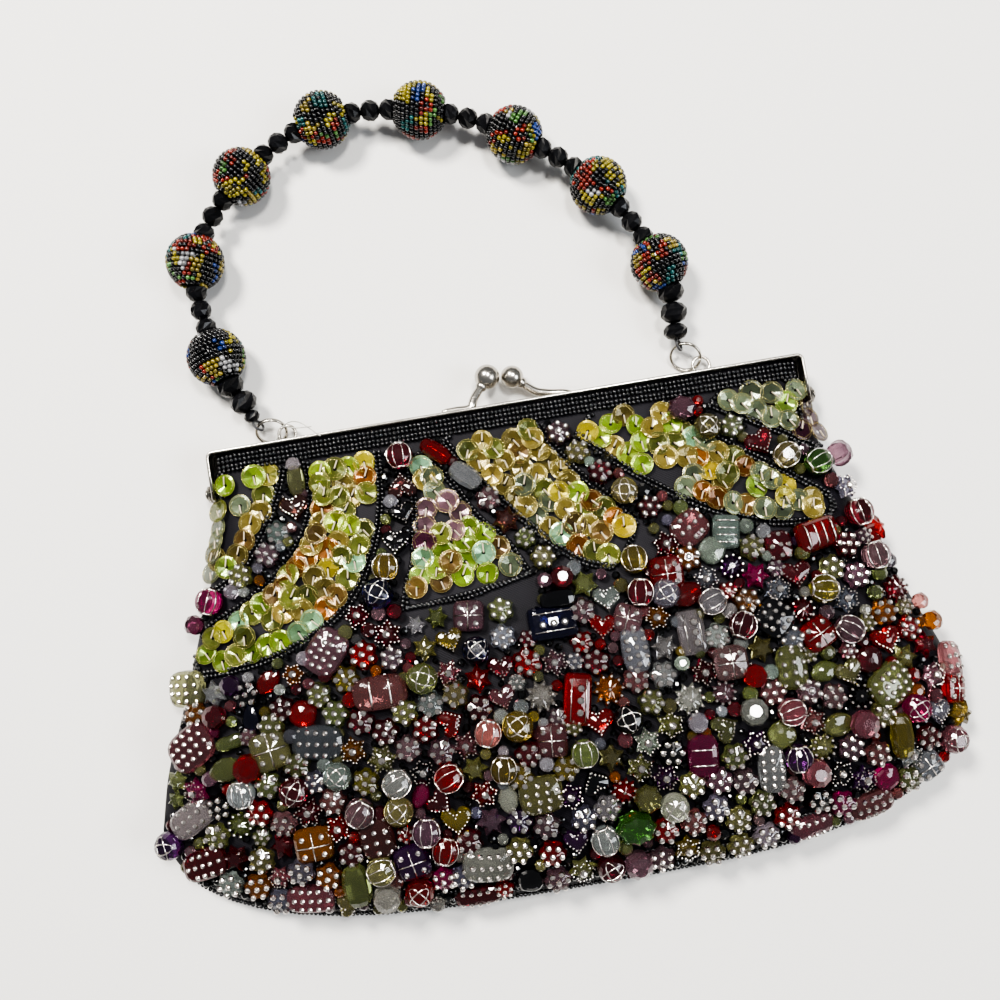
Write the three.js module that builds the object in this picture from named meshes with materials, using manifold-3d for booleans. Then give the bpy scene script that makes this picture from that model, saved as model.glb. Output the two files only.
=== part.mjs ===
// A beaded evening handbag with a kiss-lock frame, lying on its back.
// Millimetres, +Z up. X runs along the frame, Y from the bag's bottom to its handle, and the
// bag rests on Z = 0. Each sub-part is drawn about the middle of the frame's rail, and one group
// at the end moves them all so that the origin is under the middle of the whole object.
import * as THREE from "three";
import { mergeVertices } from "three/addons/utils/BufferGeometryUtils.js";
import Module from "manifold-3d";

const wasm = await Module();
wasm.setup();

// Driving sizes of the frame
const FRAME_LENGTH = 180;
const FRAME_MIDDLE_Z = 6.6;
const HALF_DEPTH = 5.8;
const HALF_SPACE = 0.2;
const RAIL = 1;
const ARM_DOWN = 14;
const LIP = { length: 160, down: 9, thick: 0.7, offset: 0.5 };
const HINGE = { down: 11.6, ear: 5, ear_thick: 0.8, ear_gap: 0.3, hole_radius: 1.25, sides: 8 };
const HINGE_HOLE_LENGTH = 12;
const RIVET = { pin: 3, radius: 0.9, head_radius: 1.7, crown_radius: 1.2, head: 0.8 };

// Driving sizes of the pouch
const MOUTH_DOWN = 0.8;
const SIDE_LENGTH = 106.2;
const BOTTOM_DROP = 36;
const CORNER_POWER = 3.25;
const WALL = 1.6;
const EDGE_POWER = 8;
const INNER_INSET = 1.5 * WALL;
const LEAST_ROOM = 0.1;
const ACROSS_STEPS = 20;
const DOWN_STEPS = 10;
const DOWN_CROWDING = 1.15;

// Sections of the pouch, from the mouth (0) to the bottom seam (1): half width, height of the
// front over the seam, depth of the back under it, height of the seam, and how square it is.
const SECTIONS = [
  { down: 0.0, half: 88.2, rise: 4.1, sag: 4.1, seam: 6.6, square: 24 },
  { down: 0.13, half: 88.4, rise: 5.2, sag: 4.8, seam: 6.4, square: 18 },
  { down: 0.3, half: 93.5, rise: 9.0, sag: 6.8, seam: 6.2, square: 9 },
  { down: 0.5, half: 101.5, rise: 13.0, sag: 7.6, seam: 5.8, square: 6 },
  { down: 0.7, half: 109.6, rise: 15.0, sag: 7.8, seam: 5.4, square: 5 },
  { down: 0.85, half: 116.0, rise: 15.4, sag: 7.8, seam: 5.0, square: 4.5 },
  { down: 1.0, half: 120.0, rise: 14.6, sag: 7.8, seam: 4.6, square: 4.5 },
];

// Soft dents and swells of the front: a line from (x1, y1) to (x2, y2), its height and half width.
// They are the crease and the swell at the left bottom corner, a gather under each end of the
// mouth, and the dip down the belly.
const FOLDS = [
  { x1: -114, y1: -96, x2: -84, y2: -112, height: -3.2, spread: 5 },
  { x1: -110, y1: -80, x2: -88, y2: -94, height: 1.8, spread: 9 },
  { x1: -66, y1: -16, x2: -80, y2: -46, height: -1.2, spread: 7 },
  { x1: 50, y1: -14, x2: 84, y2: -34, height: -1.2, spread: 7 },
  { x1: 0, y1: -30, x2: 8, y2: -74, height: -1.4, spread: 12 },
];

// Layers that are sewn on the front
const LAYER_GAP = 0.4;
const LAYER_SINK = 1.5;
const FIELD_THICK = 2.4;
const LEAF_THICK = 1.5;
const BORDER = 2.4;
const ROWS_DOWN = 6.2;
const LAYER_INSET = 0.025;

// Sequinned leaves: sections along each leaf's middle line, with the half width there.
const LEAVES = [
  [
    { x: -78, y: -2, half: 10 }, { x: -80, y: -12, half: 8.6 }, { x: -85, y: -23, half: 8 },
    { x: -91, y: -32, half: 6.4 }, { x: -96, y: -38, half: 3 },
  ],
  [
    { x: -50.5, y: -4, half: 9.6 }, { x: -51, y: -20, half: 9.2 }, { x: -55, y: -33, half: 9.4 },
    { x: -63, y: -44, half: 9.8 }, { x: -76, y: -52, half: 8.4 }, { x: -90, y: -56.5, half: 6.4 },
    { x: -101, y: -59, half: 4 },
  ],
  [
    { x: -28, y: -12, half: 2.2 }, { x: -25, y: -24, half: 5.4 }, { x: -23, y: -35, half: 9 },
    { x: -21, y: -44, half: 14 }, { x: -20, y: -53, half: 17.5 },
  ],
  [
    { x: -7, y: -2, half: 13 }, { x: 0, y: -17, half: 10.6 }, { x: 9, y: -30, half: 9.4 },
    { x: 19, y: -41, half: 9 }, { x: 27, y: -47.5, half: 6 },
  ],
  [
    { x: 30, y: -4, half: 12.5 }, { x: 41, y: -18, half: 10.4 }, { x: 55, y: -30, half: 9.2 },
    { x: 70, y: -39, half: 7.6 }, { x: 82, y: -44, half: 4.4 }, { x: 88, y: -46, half: 2 },
  ],
  [
    { x: 73, y: -1, half: 15 }, { x: 80, y: -11, half: 9.4 }, { x: 86, y: -19, half: 5.6 },
    { x: 91, y: -26, half: 2.4 },
  ],
];

// The largest beads of the front, which stand out of the field: centre, length, width and turn.
const LARGE_BEADS = [
  { x: -104, y: -67.5, long: 13, wide: 10, turn: -3 },
  { x: -103, y: -83, long: 13, wide: 11, turn: 120 },
  { x: -82, y: -88, long: 11, wide: 10, turn: 105 },
  { x: -68, y: -87, long: 14, wide: 9, turn: -10 },
  { x: -62, y: -63.5, long: 13, wide: 10, turn: 50 },
  { x: -49, y: -76.5, long: 15, wide: 10, turn: 0 },
  { x: -75, y: -115, long: 10, wide: 9, turn: 0 },
  { x: -56, y: -114, long: 13, wide: 9, turn: 95 },
  { x: -27, y: -130, long: 15, wide: 9, turn: -12 },
  { x: -75, y: -130, long: 14, wide: 7, turn: -8 },
  { x: -8.5, y: -111, long: 13, wide: 10, turn: 0 },
  { x: -20.5, y: -59, long: 9, wide: 9, turn: -10 },
  { x: 1, y: -67, long: 15, wide: 10, turn: 0 },
  { x: 5, y: -87.5, long: 15, wide: 9, turn: 78 },
  { x: 15, y: -124, long: 12, wide: 9, turn: 0 },
  { x: 24, y: -77, long: 14, wide: 7, turn: 93 },
  { x: 40, y: -74.5, long: 12, wide: 8, turn: 90 },
  { x: 38, y: -108.5, long: 12, wide: 9, turn: 85 },
  { x: 57, y: -115, long: 14, wide: 9, turn: 86 },
  { x: 66, y: -89, long: 12, wide: 9, turn: 90 },
  { x: 64, y: -75, long: 11, wide: 10, turn: 45 },
  { x: 82, y: -53.5, long: 15, wide: 8, turn: 5 },
  { x: 93, y: -98.5, long: 12, wide: 11, turn: 30 },
  { x: 94, y: -113, long: 13, wide: 7, turn: 88 },
];
const BEAD = { rise: 4.4, seat: 1, sides: 8, bevel: 0.72, slope_reach: 3 };

// Clasp: where each ball's arm leaves the rail, where the ball is, and how thick they are.
const CLASP = {
  front: { ball: [-3.9, 9.6, 7.9], foot: [-10.4, 0.8, 10.4], tail: [-19, 0.8, 10.6], radius: 3.8 },
  back: { ball: [3.6, 8.9, 5.2], foot: [9.2, 0.9, 3.0], tail: [19.5, 0.9, 2.8], radius: 3.5 },
  arm_radius: 1.25,
  tail_radius: 0.85,
  arm_sides: 8,
  ball_sides: 12,
};

// Rings that join the handle to the frame: tilts about X and then Y, and the angle round the ring
// where the thread holds it.
const LOOP = { radius: 2.6, wire: 0.48, sides: 6, steps: 12 };
const RING = { radius: 4.5, wire: 0.55, sides: 6, steps: 14 };
const LEFT_LINK = { loop: [-66.6, 3.2, 3.4], ring: [-71.1, 4.6, 4.2], tilt: [48, 0], grip: 135 };
const RIGHT_LINK = { loop: [61.3, 3.2, 3.4], ring: [57, 6.5, 3.8], tilt: [36, -24], grip: 100 };

// Handle: the way of its thread from ring to ring, and its beads
const BALL = { radius: 8.8, sides: 12, arc_steps: 4, seat: 6.3, floor: 5.8, recess_radius: 4.3, hole: 1.7 };
const BALL_COUNT = 8;
const CUT_BEAD = { radius: 3.1, half: 2.75, cap: 1.5, sides: 7 };
const END_BEAD = { radius: 4.1, half: 3.0, cap: 1.5, sides: 7 };
const LEFT_TIP_BEAD = { radius: 2.4, half: 1.6, cap: 1.5, sides: 7 };
const RIGHT_TIP_BEAD = { radius: 3.7, half: 2.4, cap: 1.5, sides: 7 };
const THREAD = { radius: 0.45, hole: 1.1, sides: 6, eye: 1.75, eye_steps: 10, steps: 48 };
const STRING_GAP = 0.3;
const BEADS_BETWEEN = 3;
const BEADS_AT_END = 2;
const HANDLE_WAY = [
  { x: -77.2, y: 13.6, z: 7.6 },
  { x: -80.9, y: 20.7, z: 8.7 },
  { x: -83.3, y: 29.3, z: 8.9 },
  { x: -85.3, y: 58.9, z: 8.9 },
  { x: -67.7, y: 82.8, z: 8.9 },
  { x: -41.5, y: 96.3, z: 8.9 },
  { x: -10.8, y: 94.6, z: 8.9 },
  { x: 16.4, y: 82.3, z: 8.9 },
  { x: 40.0, y: 61.1, z: 8.9 },
  { x: 53.5, y: 34.9, z: 8.9 },
  { x: 55.2, y: 24.4, z: 8.6 },
  { x: 55.0, y: 16.4, z: 7.4 },
];

// Materials
const finish = (color, roughness, metalness = 0) =>
  new THREE.MeshStandardMaterial({ color, roughness, metalness });
const SATIN = finish(0x35333c, 0.7);
const METAL = finish(0x8d877f, 0.28, 1);
const ACRYLIC = finish(0x6b4a45, 0.25);
const SEQUIN = finish(0xb5a63f, 0.2);
const JET = finish(0x08080a, 0.18);
const SEED_WORK = finish(0x2c1f22, 0.3);
const NYLON = finish(0x121214, 0.6);

const degrees = THREE.MathUtils.degToRad;
const UP = new THREE.Vector3(0, 0, 1);

// Corners closer than this are one, cutting blocks reach this far, and these are the rounds of
// correction and the divisions that give places to a few hundredths of a millimetre.
const WELD = 1e-4;
const REACH = 200;
const PRISM_HEIGHT = 40;
const CORRECTIONS = 12;
const WAY_DIVISIONS = 2000;

// Turns a closed geometry into a solid that can be joined or cut, and back.
function solid(geometry) {
  const bare = geometry.index ? geometry.toNonIndexed() : geometry.clone();
  bare.deleteAttribute("normal");
  bare.deleteAttribute("uv");
  const merged = mergeVertices(bare, WELD);
  return new wasm.Manifold(
    new wasm.Mesh({
      numProp: 3,
      vertProperties: new Float32Array(merged.attributes.position.array),
      triVerts: new Uint32Array(merged.index.array),
    }),
  );
}

function geometryOf(shape) {
  const mesh = shape.getMesh();
  const corners = new Float32Array(mesh.numVert * 3);
  for (let i = 0; i < mesh.numVert; i++)
    corners.set(mesh.vertProperties.subarray(i * mesh.numProp, i * mesh.numProp + 3), i * 3);
  const geometry = new THREE.BufferGeometry();
  geometry.setAttribute("position", new THREE.BufferAttribute(corners, 3));
  geometry.setIndex(new THREE.BufferAttribute(new Uint32Array(mesh.triVerts), 1));
  geometry.computeVertexNormals();
  return geometry;
}

function named(name, geometry, material) {
  const mesh = new THREE.Mesh(geometry, material);
  mesh.name = name;
  return mesh;
}

// A box between two corners.
function block(low, high) {
  const size = high.map((value, axis) => value - low[axis]);
  const middle = high.map((value, axis) => (value + low[axis]) / 2);
  return new THREE.BoxGeometry(...size).translate(...middle);
}

// Smooth value of one column of a table at a place between its rows (cubic through the rows).
function smooth(rows, place, key, at) {
  let i = 0;
  while (i < rows.length - 2 && rows[i + 1][place] < at) i++;
  const slope = (k) => {
    const before = rows[Math.max(k - 1, 0)];
    const after = rows[Math.min(k + 1, rows.length - 1)];
    return (after[key] - before[key]) / (after[place] - before[place]);
  };
  const [a, b] = [rows[i], rows[i + 1]];
  const span = b[place] - a[place];
  const t = (at - a[place]) / span;
  const [t2, t3] = [t * t, t * t * t];
  return (
    (2 * t3 - 3 * t2 + 1) * a[key] + (t3 - 2 * t2 + t) * span * slope(i) +
    (3 * t2 - 2 * t3) * b[key] + (t3 - t2) * span * slope(i + 1)
  );
}

// How far the bottom hangs below the side seams, across the bag: a rounded corner at each end.
const bottomCurve = (u) => Math.sqrt(Math.max(0, 1 - Math.abs(u) ** CORNER_POWER));

// Place on the bag of u (-1 left edge, 1 right edge) and v (0 mouth, 1 bottom seam).
function placeOf(u, v) {
  const half = smooth(SECTIONS, "down", "half", v);
  return [u * half, -(MOUTH_DOWN + SIDE_LENGTH * v + BOTTOM_DROP * v * v * bottomCurve(u))];
}

// Height of the folds at a place: each is a ridge or valley that fades to its sides.
function foldHeight(x, y) {
  let height = 0;
  for (const fold of FOLDS) {
    const [dx, dy] = [fold.x2 - fold.x1, fold.y2 - fold.y1];
    const along = THREE.MathUtils.clamp(
      ((x - fold.x1) * dx + (y - fold.y1) * dy) / (dx * dx + dy * dy), 0, 1);
    const off = Math.hypot(x - fold.x1 - along * dx, y - fold.y1 - along * dy);
    height += fold.height * Math.exp(-((off / fold.spread) ** 2));
  }
  return height;
}

// Share of the full swell that is left near the side and bottom seams.
function swell(u, v) {
  const square = smooth(SECTIONS, "down", "square", v);
  const across = Math.sqrt(Math.max(0, 1 - Math.abs(u) ** square));
  return across * Math.sqrt(Math.max(0, 1 - v ** EDGE_POWER));
}

function frontHeight(u, v) {
  const [x, y] = placeOf(u, v);
  const full = smooth(SECTIONS, "down", "rise", v) + foldHeight(x, y);
  return smooth(SECTIONS, "down", "seam", v) + full * swell(u, v);
}

// The back is flat on the surface that the bag lies on.
function backHeight(u, v) {
  const depth = smooth(SECTIONS, "down", "sag", v) * swell(u, v);
  return Math.max(0, smooth(SECTIONS, "down", "seam", v) - depth);
}

// u and v of a place on the bag, by repeated correction.
function whereOn(x, y) {
  let [u, v] = [0, 0];
  for (let turn = 0; turn < CORRECTIONS; turn++) {
    const drop = BOTTOM_DROP * bottomCurve(u);
    const far = Math.max(0, -y - MOUTH_DOWN);
    v = Math.min(1, (2 * far) / (SIDE_LENGTH + Math.sqrt(SIDE_LENGTH ** 2 + 4 * drop * far)));
    u = THREE.MathUtils.clamp(x / smooth(SECTIONS, "down", "half", v), -1, 1);
  }
  return [u, v];
}

// Across the bag the steps shorten towards the side seams.
const acrossStep = (i) => Math.sin((Math.PI / 2) * ((2 * i) / ACROSS_STEPS - 1));
const downStep = (j) => Math.sin((Math.PI / 2) * (j / DOWN_STEPS) ** DOWN_CROWDING);

// A closed body between sheets of points: each sheet is rows of points, and each rim joins two sheets.
function closedBody(sheets, rims) {
  const corners = [];
  const square = (a, b, c, d) => corners.push(...a, ...b, ...c, ...a, ...c, ...d);
  for (const { rows, flip } of sheets)
    for (let j = 0; j < rows.length - 1; j++)
      for (let i = 0; i < rows[j].length - 1; i++) {
        const [a, b] = [rows[j][i], rows[j][i + 1]];
        const [c, d] = [rows[j + 1][i + 1], rows[j + 1][i]];
        // The left half is split along the other diagonal, so that both lower corners are kept.
        const ring = 2 * i < rows[j].length - 1 ? [b, c, d, a] : [a, b, c, d];
        if (flip) square(...ring);
        else square(...ring.reverse());
      }
  for (const { from, to } of rims)
    for (let i = 0; i < from.length - 1; i++) square(from[i], from[i + 1], to[i + 1], to[i]);
  const geometry = new THREE.BufferGeometry();
  geometry.setAttribute("position", new THREE.BufferAttribute(new Float32Array(corners), 3));
  const merged = mergeVertices(geometry, WELD);
  const index = [];
  for (let k = 0; k < merged.index.count; k += 3) {
    const [a, b, c] = [0, 1, 2].map((n) => merged.index.getX(k + n));
    if (a !== b && b !== c && a !== c) index.push(a, b, c);
  }
  merged.setIndex(index);
  return merged;
}

function grid(point) {
  return Array.from({ length: DOWN_STEPS + 1 }, (_, j) =>
    Array.from({ length: ACROSS_STEPS + 1 }, (_, i) => point(acrossStep(i), downStep(j), i, j)));
}

const outerSkin = (height) => grid((u, v) => [...placeOf(u, v), height(u, v)]);

// The room that the pouch takes up, with its mouth closed.
function pouchRoom() {
  const [front, back] = [outerSkin(frontHeight), outerSkin(backHeight)];
  return solid(closedBody(
    [{ rows: front, flip: false }, { rows: back, flip: true }],
    [{ from: front[0], to: back[0] }],
  ));
}

// Pouch: an outer skin and an inner skin one wall inside it, joined round the mouth.
function pouch() {
  const shrink = (u, v) => {
    const [x, y] = placeOf(u, v);
    const half = smooth(SECTIONS, "down", "half", v);
    const bottom = MOUTH_DOWN + SIDE_LENGTH + BOTTOM_DROP;
    return [x * (1 - INNER_INSET / half), -MOUTH_DOWN + (y + MOUTH_DOWN) * (1 - INNER_INSET / bottom)];
  };
  const inner = (side) =>
    grid((u, v, i, j) => {
      const [x, y] = shrink(u, v);
      const [uu, vv] = whereOn(x, y);
      const rim = i === 0 || i === ACROSS_STEPS || j === DOWN_STEPS;
      const [top, low] = [frontHeight(uu, vv) - WALL, backHeight(uu, vv) + WALL];
      const middle = (top + low) / 2;
      if (rim) return [x, y, middle];
      return [x, y, side > 0 ? Math.max(top, middle + LEAST_ROOM) : Math.min(low, middle - LEAST_ROOM)];
    });
  const [front, back] = [outerSkin(frontHeight), outerSkin(backHeight)];
  const [frontIn, backIn] = [inner(1), inner(-1)];
  return closedBody(
    [
      { rows: front, flip: false }, { rows: back, flip: true },
      { rows: frontIn, flip: true }, { rows: backIn, flip: false },
    ],
    [{ from: front[0], to: frontIn[0] }, { from: backIn[0], to: back[0] }],
  );
}

// A layer over the whole front, before the room of the pouch is cut from under it.
function frontLayer(low, high) {
  const share = 1 - LAYER_INSET;
  const sheet = (lift) => grid((u, v) => {
    const [uu, vv] = [u * share, v * share];
    return [...placeOf(uu, vv), frontHeight(uu, vv) + lift];
  });
  const [top, under] = [sheet(high), sheet(low)];
  const side = (rows, i) => rows.map((row) => row[i]);
  return solid(closedBody(
    [{ rows: top, flip: false }, { rows: under, flip: true }],
    [
      { from: top[0], to: under[0] },
      { from: under.at(-1), to: top.at(-1) },
      { from: side(under, 0), to: side(top, 0) },
      { from: side(top, ACROSS_STEPS), to: side(under, ACROSS_STEPS) },
    ],
  ));
}

// Outline of a leaf, or of a leaf with its border, as an upright prism.
function leafPrism(sections, border) {
  const way = new THREE.CatmullRomCurve3(sections.map(({ x, y }) => new THREE.Vector3(x, y, 0)));
  const rows = sections.map(({ half }, i) => ({ at: i / (sections.length - 1), half }));
  const steps = 2 * (sections.length - 1);
  const sides = [[], []];
  for (let i = 0; i <= steps; i++) {
    const at = i / steps;
    const [point, ahead] = [way.getPoint(at), way.getTangent(at)];
    const half = smooth(rows, "at", "half", at) + border;
    const slide = border * (i === 0 ? -1 : i === steps ? 1 : 0);
    for (const [k, sign] of [[0, 1], [1, -1]])
      sides[k].push(new THREE.Vector2(
        point.x + slide * ahead.x - sign * half * ahead.y,
        point.y + slide * ahead.y + sign * half * ahead.x));
  }
  const outline = new THREE.Shape([...sides[0], ...sides[1].reverse()]);
  return solid(new THREE.ExtrudeGeometry(outline, { depth: PRISM_HEIGHT, bevelEnabled: false }));
}

// A large bead of the field: an eight-sided drum with a bevelled top, standing on the pouch.
function largeBead({ x, y, long, wide, turn }) {
  const [u, v] = whereOn(x, y);
  const base = frontHeight(u, v) + BEAD.seat;
  const tall = BEAD.rise - BEAD.seat;
  const drum = new THREE.CylinderGeometry(BEAD.bevel, 1, tall, BEAD.sides);
  drum.rotateX(Math.PI / 2).rotateZ(Math.PI / BEAD.sides);
  drum.scale(long / 2, wide / 2, 1).translate(0, 0, tall / 2);
  const heightAt = (dx, dy) => frontHeight(...whereOn(x + dx, y + dy));
  const reach = BEAD.slope_reach;
  const slopeX = (heightAt(reach, 0) - heightAt(-reach, 0)) / (2 * reach);
  const slopeY = (heightAt(0, reach) - heightAt(0, -reach)) / (2 * reach);
  const normal = new THREE.Vector3(-slopeX, -slopeY, 1).normalize();
  drum.rotateZ(degrees(turn));
  drum.applyQuaternion(new THREE.Quaternion().setFromUnitVectors(UP, normal));
  return solid(drum.translate(x, y, base));
}

// The layers on the front: sequinned leaves, and the field of beads that runs between them.
function frontWork() {
  const kept = pouchRoom().translate([0, 0, LAYER_GAP]);
  const below = solid(block([-REACH, -REACH, -REACH], [REACH, -ROWS_DOWN, REACH])).subtract(kept);
  const leafLayer = frontLayer(-LAYER_SINK, LAYER_GAP + LEAF_THICK).intersect(below);
  const meshes = LEAVES.map((sections, i) =>
    named(`sequin_leaf_${i + 1}`, geometryOf(leafLayer.intersect(leafPrism(sections, 0))), SEQUIN));
  let field = frontLayer(-LAYER_SINK, LAYER_GAP + FIELD_THICK);
  for (const sections of LEAVES) field = field.subtract(leafPrism(sections, BORDER));
  for (const bead of LARGE_BEADS) field = field.add(largeBead(bead));
  const [lower, channel] = field.intersect(below).decompose().sort((a, b) => b.volume() - a.volume());
  meshes.push(named("bead_field", geometryOf(lower), ACRYLIC));
  meshes.push(named("bead_channel", geometryOf(channel), ACRYLIC));
  return meshes;
}

// A round rod between points, with closed ends.
function rod(points, radius, sides, steps) {
  const way = points.length > 2
    ? new THREE.CatmullRomCurve3(points, false, "centripetal")
    : new THREE.LineCurve3(...points);
  const section = new THREE.Shape(
    Array.from({ length: sides }, (_, i) => {
      const angle = (2 * Math.PI * i) / sides;
      return new THREE.Vector2(radius * Math.cos(angle), radius * Math.sin(angle));
    }),
  );
  return new THREE.ExtrudeGeometry(section, { steps, extrudePath: way });
}

// A wire ring, its axis along Z before it is turned by the two tilts (about X, then about Y).
function wireRing({ radius, wire, sides, steps }, centre, tilt = [0, 0]) {
  const ring = new THREE.TorusGeometry(radius, wire, sides, steps);
  ring.rotateX(degrees(tilt[0])).rotateY(degrees(tilt[1]));
  return ring.translate(...centre);
}

// Where the thread holds a ring, which way the ring's wire runs there, and where the thread
// starts on its way to the next point of the handle.
function gripOf({ ring, tilt, grip }, next) {
  const turned = (x, y) => new THREE.Vector3(x, y, 0)
    .applyAxisAngle(new THREE.Vector3(1, 0, 0), degrees(tilt[0]))
    .applyAxisAngle(new THREE.Vector3(0, 1, 0), degrees(tilt[1]));
  const [cosine, sine] = [Math.cos(degrees(grip)), Math.sin(degrees(grip))];
  const centre = turned(cosine, sine).multiplyScalar(RING.radius).add(new THREE.Vector3(...ring));
  const wireWay = turned(-sine, cosine);
  const out = next.clone().sub(centre).projectOnPlane(wireWay).normalize();
  return { centre, wireWay, start: centre.clone().addScaledVector(out, THREAD.eye) };
}

// One half of the frame: rail, two arms with their hinge ears, a lip inside the pouch, and the
// clasp's arm and ball, soldered into one. The front half has side 1, and the back half -1.
function frameHalf(side, clasp) {
  const outer = FRAME_LENGTH / 2;
  const height = (from, to) => {
    const ends = [FRAME_MIDDLE_Z + side * from, FRAME_MIDDLE_Z + side * to];
    return side > 0 ? ends : ends.reverse();
  };
  const [low, high] = height(HALF_SPACE, HALF_SPACE + HALF_DEPTH);
  const [lipLow, lipHigh] = height(LIP.offset, LIP.offset + LIP.thick);
  let half = solid(block([-outer, -RAIL / 2, low], [outer, RAIL / 2, high]));
  half = half.add(solid(block(
    [-LIP.length / 2, -LIP.down, lipLow], [LIP.length / 2, 0, lipHigh])));
  const [earLow, earHigh] = height(-HINGE.ear / 2, HALF_DEPTH / 2);
  const [neckLow, neckHigh] = height(HINGE.ear / 2 + HINGE.ear_gap, HALF_DEPTH);
  const earOffset = side > 0 ? 0 : HINGE.ear_thick + HINGE.ear_gap;
  for (const end of [-1, 1]) {
    const sorted = (a, b) => (a < b ? [a, b] : [b, a]);
    const [armA, armB] = sorted(end * outer, end * (outer - RAIL));
    half = half.add(solid(block([armA, -ARM_DOWN, low], [armB, 0, high])));
    const ear = outer + earOffset;
    const [earA, earB] = sorted(end * ear, end * (ear + HINGE.ear_thick));
    half = half.add(solid(block(
      [earA, -HINGE.down - HINGE.ear / 2, earLow], [earB, -HINGE.down + HINGE.ear / 2, earHigh])));
    const [neckA, neckB] = sorted(end * outer, end * (ear + HINGE.ear_thick));
    if (side < 0)
      half = half.add(solid(block(
        [neckA, -HINGE.down - HINGE.ear / 2, neckLow], [neckB, -HINGE.down + HINGE.ear / 2, neckHigh])));
    const hole = new THREE.CylinderGeometry(
      HINGE.hole_radius, HINGE.hole_radius, HINGE_HOLE_LENGTH, HINGE.sides);
    hole.rotateZ(Math.PI / 2).translate(end * outer, -HINGE.down, FRAME_MIDDLE_Z);
    half = half.subtract(solid(hole));
  }
  const [ball, foot, tail] = [clasp.ball, clasp.foot, clasp.tail].map((p) => new THREE.Vector3(...p));
  half = half.add(solid(rod([tail, foot], CLASP.tail_radius, CLASP.arm_sides, 1)));
  half = half.add(solid(rod([foot, ball], CLASP.arm_radius, CLASP.arm_sides, 1)));
  const sphere = (radius, sides, centre) =>
    solid(new THREE.SphereGeometry(radius, sides, (2 * sides) / 3).translate(...centre));
  const elbow = sphere(CLASP.arm_radius, CLASP.arm_sides + 1, clasp.foot);
  const knob = sphere(clasp.radius, CLASP.ball_sides, clasp.ball);
  return half.add(elbow).add(knob);
}

function frame() {
  const front = frameHalf(1, CLASP.front);
  let back = frameHalf(-1, CLASP.back);
  for (const link of [LEFT_LINK, RIGHT_LINK]) back = back.add(solid(wireRing(LOOP, link.loop)));
  const meshes = [
    named("frame_front", geometryOf(front), METAL),
    named("frame_back", geometryOf(back), METAL),
  ];
  for (const [name, end] of [["hinge_rivet_left", -1], ["hinge_rivet_right", 1]]) {
    const face = FRAME_LENGTH / 2 + 2 * (HINGE.ear_thick + HINGE.ear_gap);
    const profile = [[0, -RIVET.pin], [RIVET.radius, -RIVET.pin], [RIVET.radius, 0],
      [RIVET.head_radius, 0], [RIVET.crown_radius, RIVET.head], [0, RIVET.head]];
    const rivet = new THREE.LatheGeometry(profile.map((p) => new THREE.Vector2(...p)), HINGE.sides);
    rivet.rotateZ(-end * Math.PI / 2).translate(end * face, -HINGE.down, FRAME_MIDDLE_Z);
    meshes.push(named(name, rivet, METAL));
  }
  return meshes;
}

// A drilled bead turned about Z from half of its profile, given as [radius, height] pairs.
function drilled(profile, sides) {
  const closed = [...profile, profile[0]].map(([r, z]) => new THREE.Vector2(r, z));
  return new THREE.LatheGeometry(closed, sides).rotateX(Math.PI / 2);
}

function ballBead() {
  const start = Math.acos(BALL.recess_radius / BALL.radius);
  const arc = Array.from({ length: BALL.arc_steps + 1 }, (_, i) => {
    const angle = -start + (2 * start * i) / BALL.arc_steps;
    return [BALL.radius * Math.cos(angle), BALL.radius * Math.sin(angle)];
  });
  return drilled([
    [BALL.hole, -BALL.floor], [BALL.recess_radius, -BALL.floor], ...arc,
    [BALL.recess_radius, BALL.floor], [BALL.hole, BALL.floor],
  ], BALL.sides);
}

const cutBead = ({ radius, half, cap, sides }) =>
  drilled([[THREAD.hole, -half], [cap, -half], [radius, 0], [cap, half], [THREAD.hole, half]], sides);

// Handle: beads along the thread at their own lengths, the row centred on the way's middle.
function handle() {
  const points = HANDLE_WAY.map(({ x, y, z }) => new THREE.Vector3(x, y, z));
  const grips = [gripOf(LEFT_LINK, points[0]), gripOf(RIGHT_LINK, points.at(-1))];
  const all = [grips[0].start, ...points, grips[1].start];
  const way = new THREE.CatmullRomCurve3(all, false, "centripetal");
  way.arcLengthDivisions = WAY_DIVISIONS;
  const order = [{ kind: "left_tip", name: "tip_bead_left" }];
  const ends = (side, count) =>
    Array.from({ length: count }, (_, i) => ({ kind: "end", name: `end_bead_${side}_${i + 1}` }));
  order.push(...ends("left", BEADS_AT_END));
  let cut = 0;
  for (let ball = 1; ball <= BALL_COUNT; ball++) {
    if (ball > 1)
      for (let i = 0; i < BEADS_BETWEEN; i++)
        order.push({ kind: "cut", name: `cut_bead_${String(++cut).padStart(2, "0")}` });
    order.push({ kind: "ball", name: `beaded_ball_${ball}` });
  }
  order.push(...ends("right", BEADS_AT_END), { kind: "right_tip", name: "tip_bead_right" });
  const kinds = { left_tip: LEFT_TIP_BEAD, right_tip: RIGHT_TIP_BEAD, end: END_BEAD, cut: CUT_BEAD };
  const halfOf = (kind) => (kind === "ball" ? BALL.seat : kinds[kind].half);
  const total = order.reduce((sum, { kind }) => sum + 2 * halfOf(kind) + STRING_GAP, -STRING_GAP);
  let at = (way.getLength() - total) / 2;
  const meshes = order.map(({ kind, name }) => {
    at += halfOf(kind);
    const share = at / way.getLength();
    const mesh = kind === "ball"
      ? named(name, ballBead(), SEED_WORK)
      : named(name, cutBead(kinds[kind]), JET);
    mesh.position.copy(way.getPointAt(share));
    mesh.quaternion.setFromUnitVectors(UP, way.getTangentAt(share));
    at += halfOf(kind) + STRING_GAP;
    return mesh;
  });
  meshes.push(named("handle_thread", geometryOf(threadOf(way, grips)), NYLON));
  return meshes;
}

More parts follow.
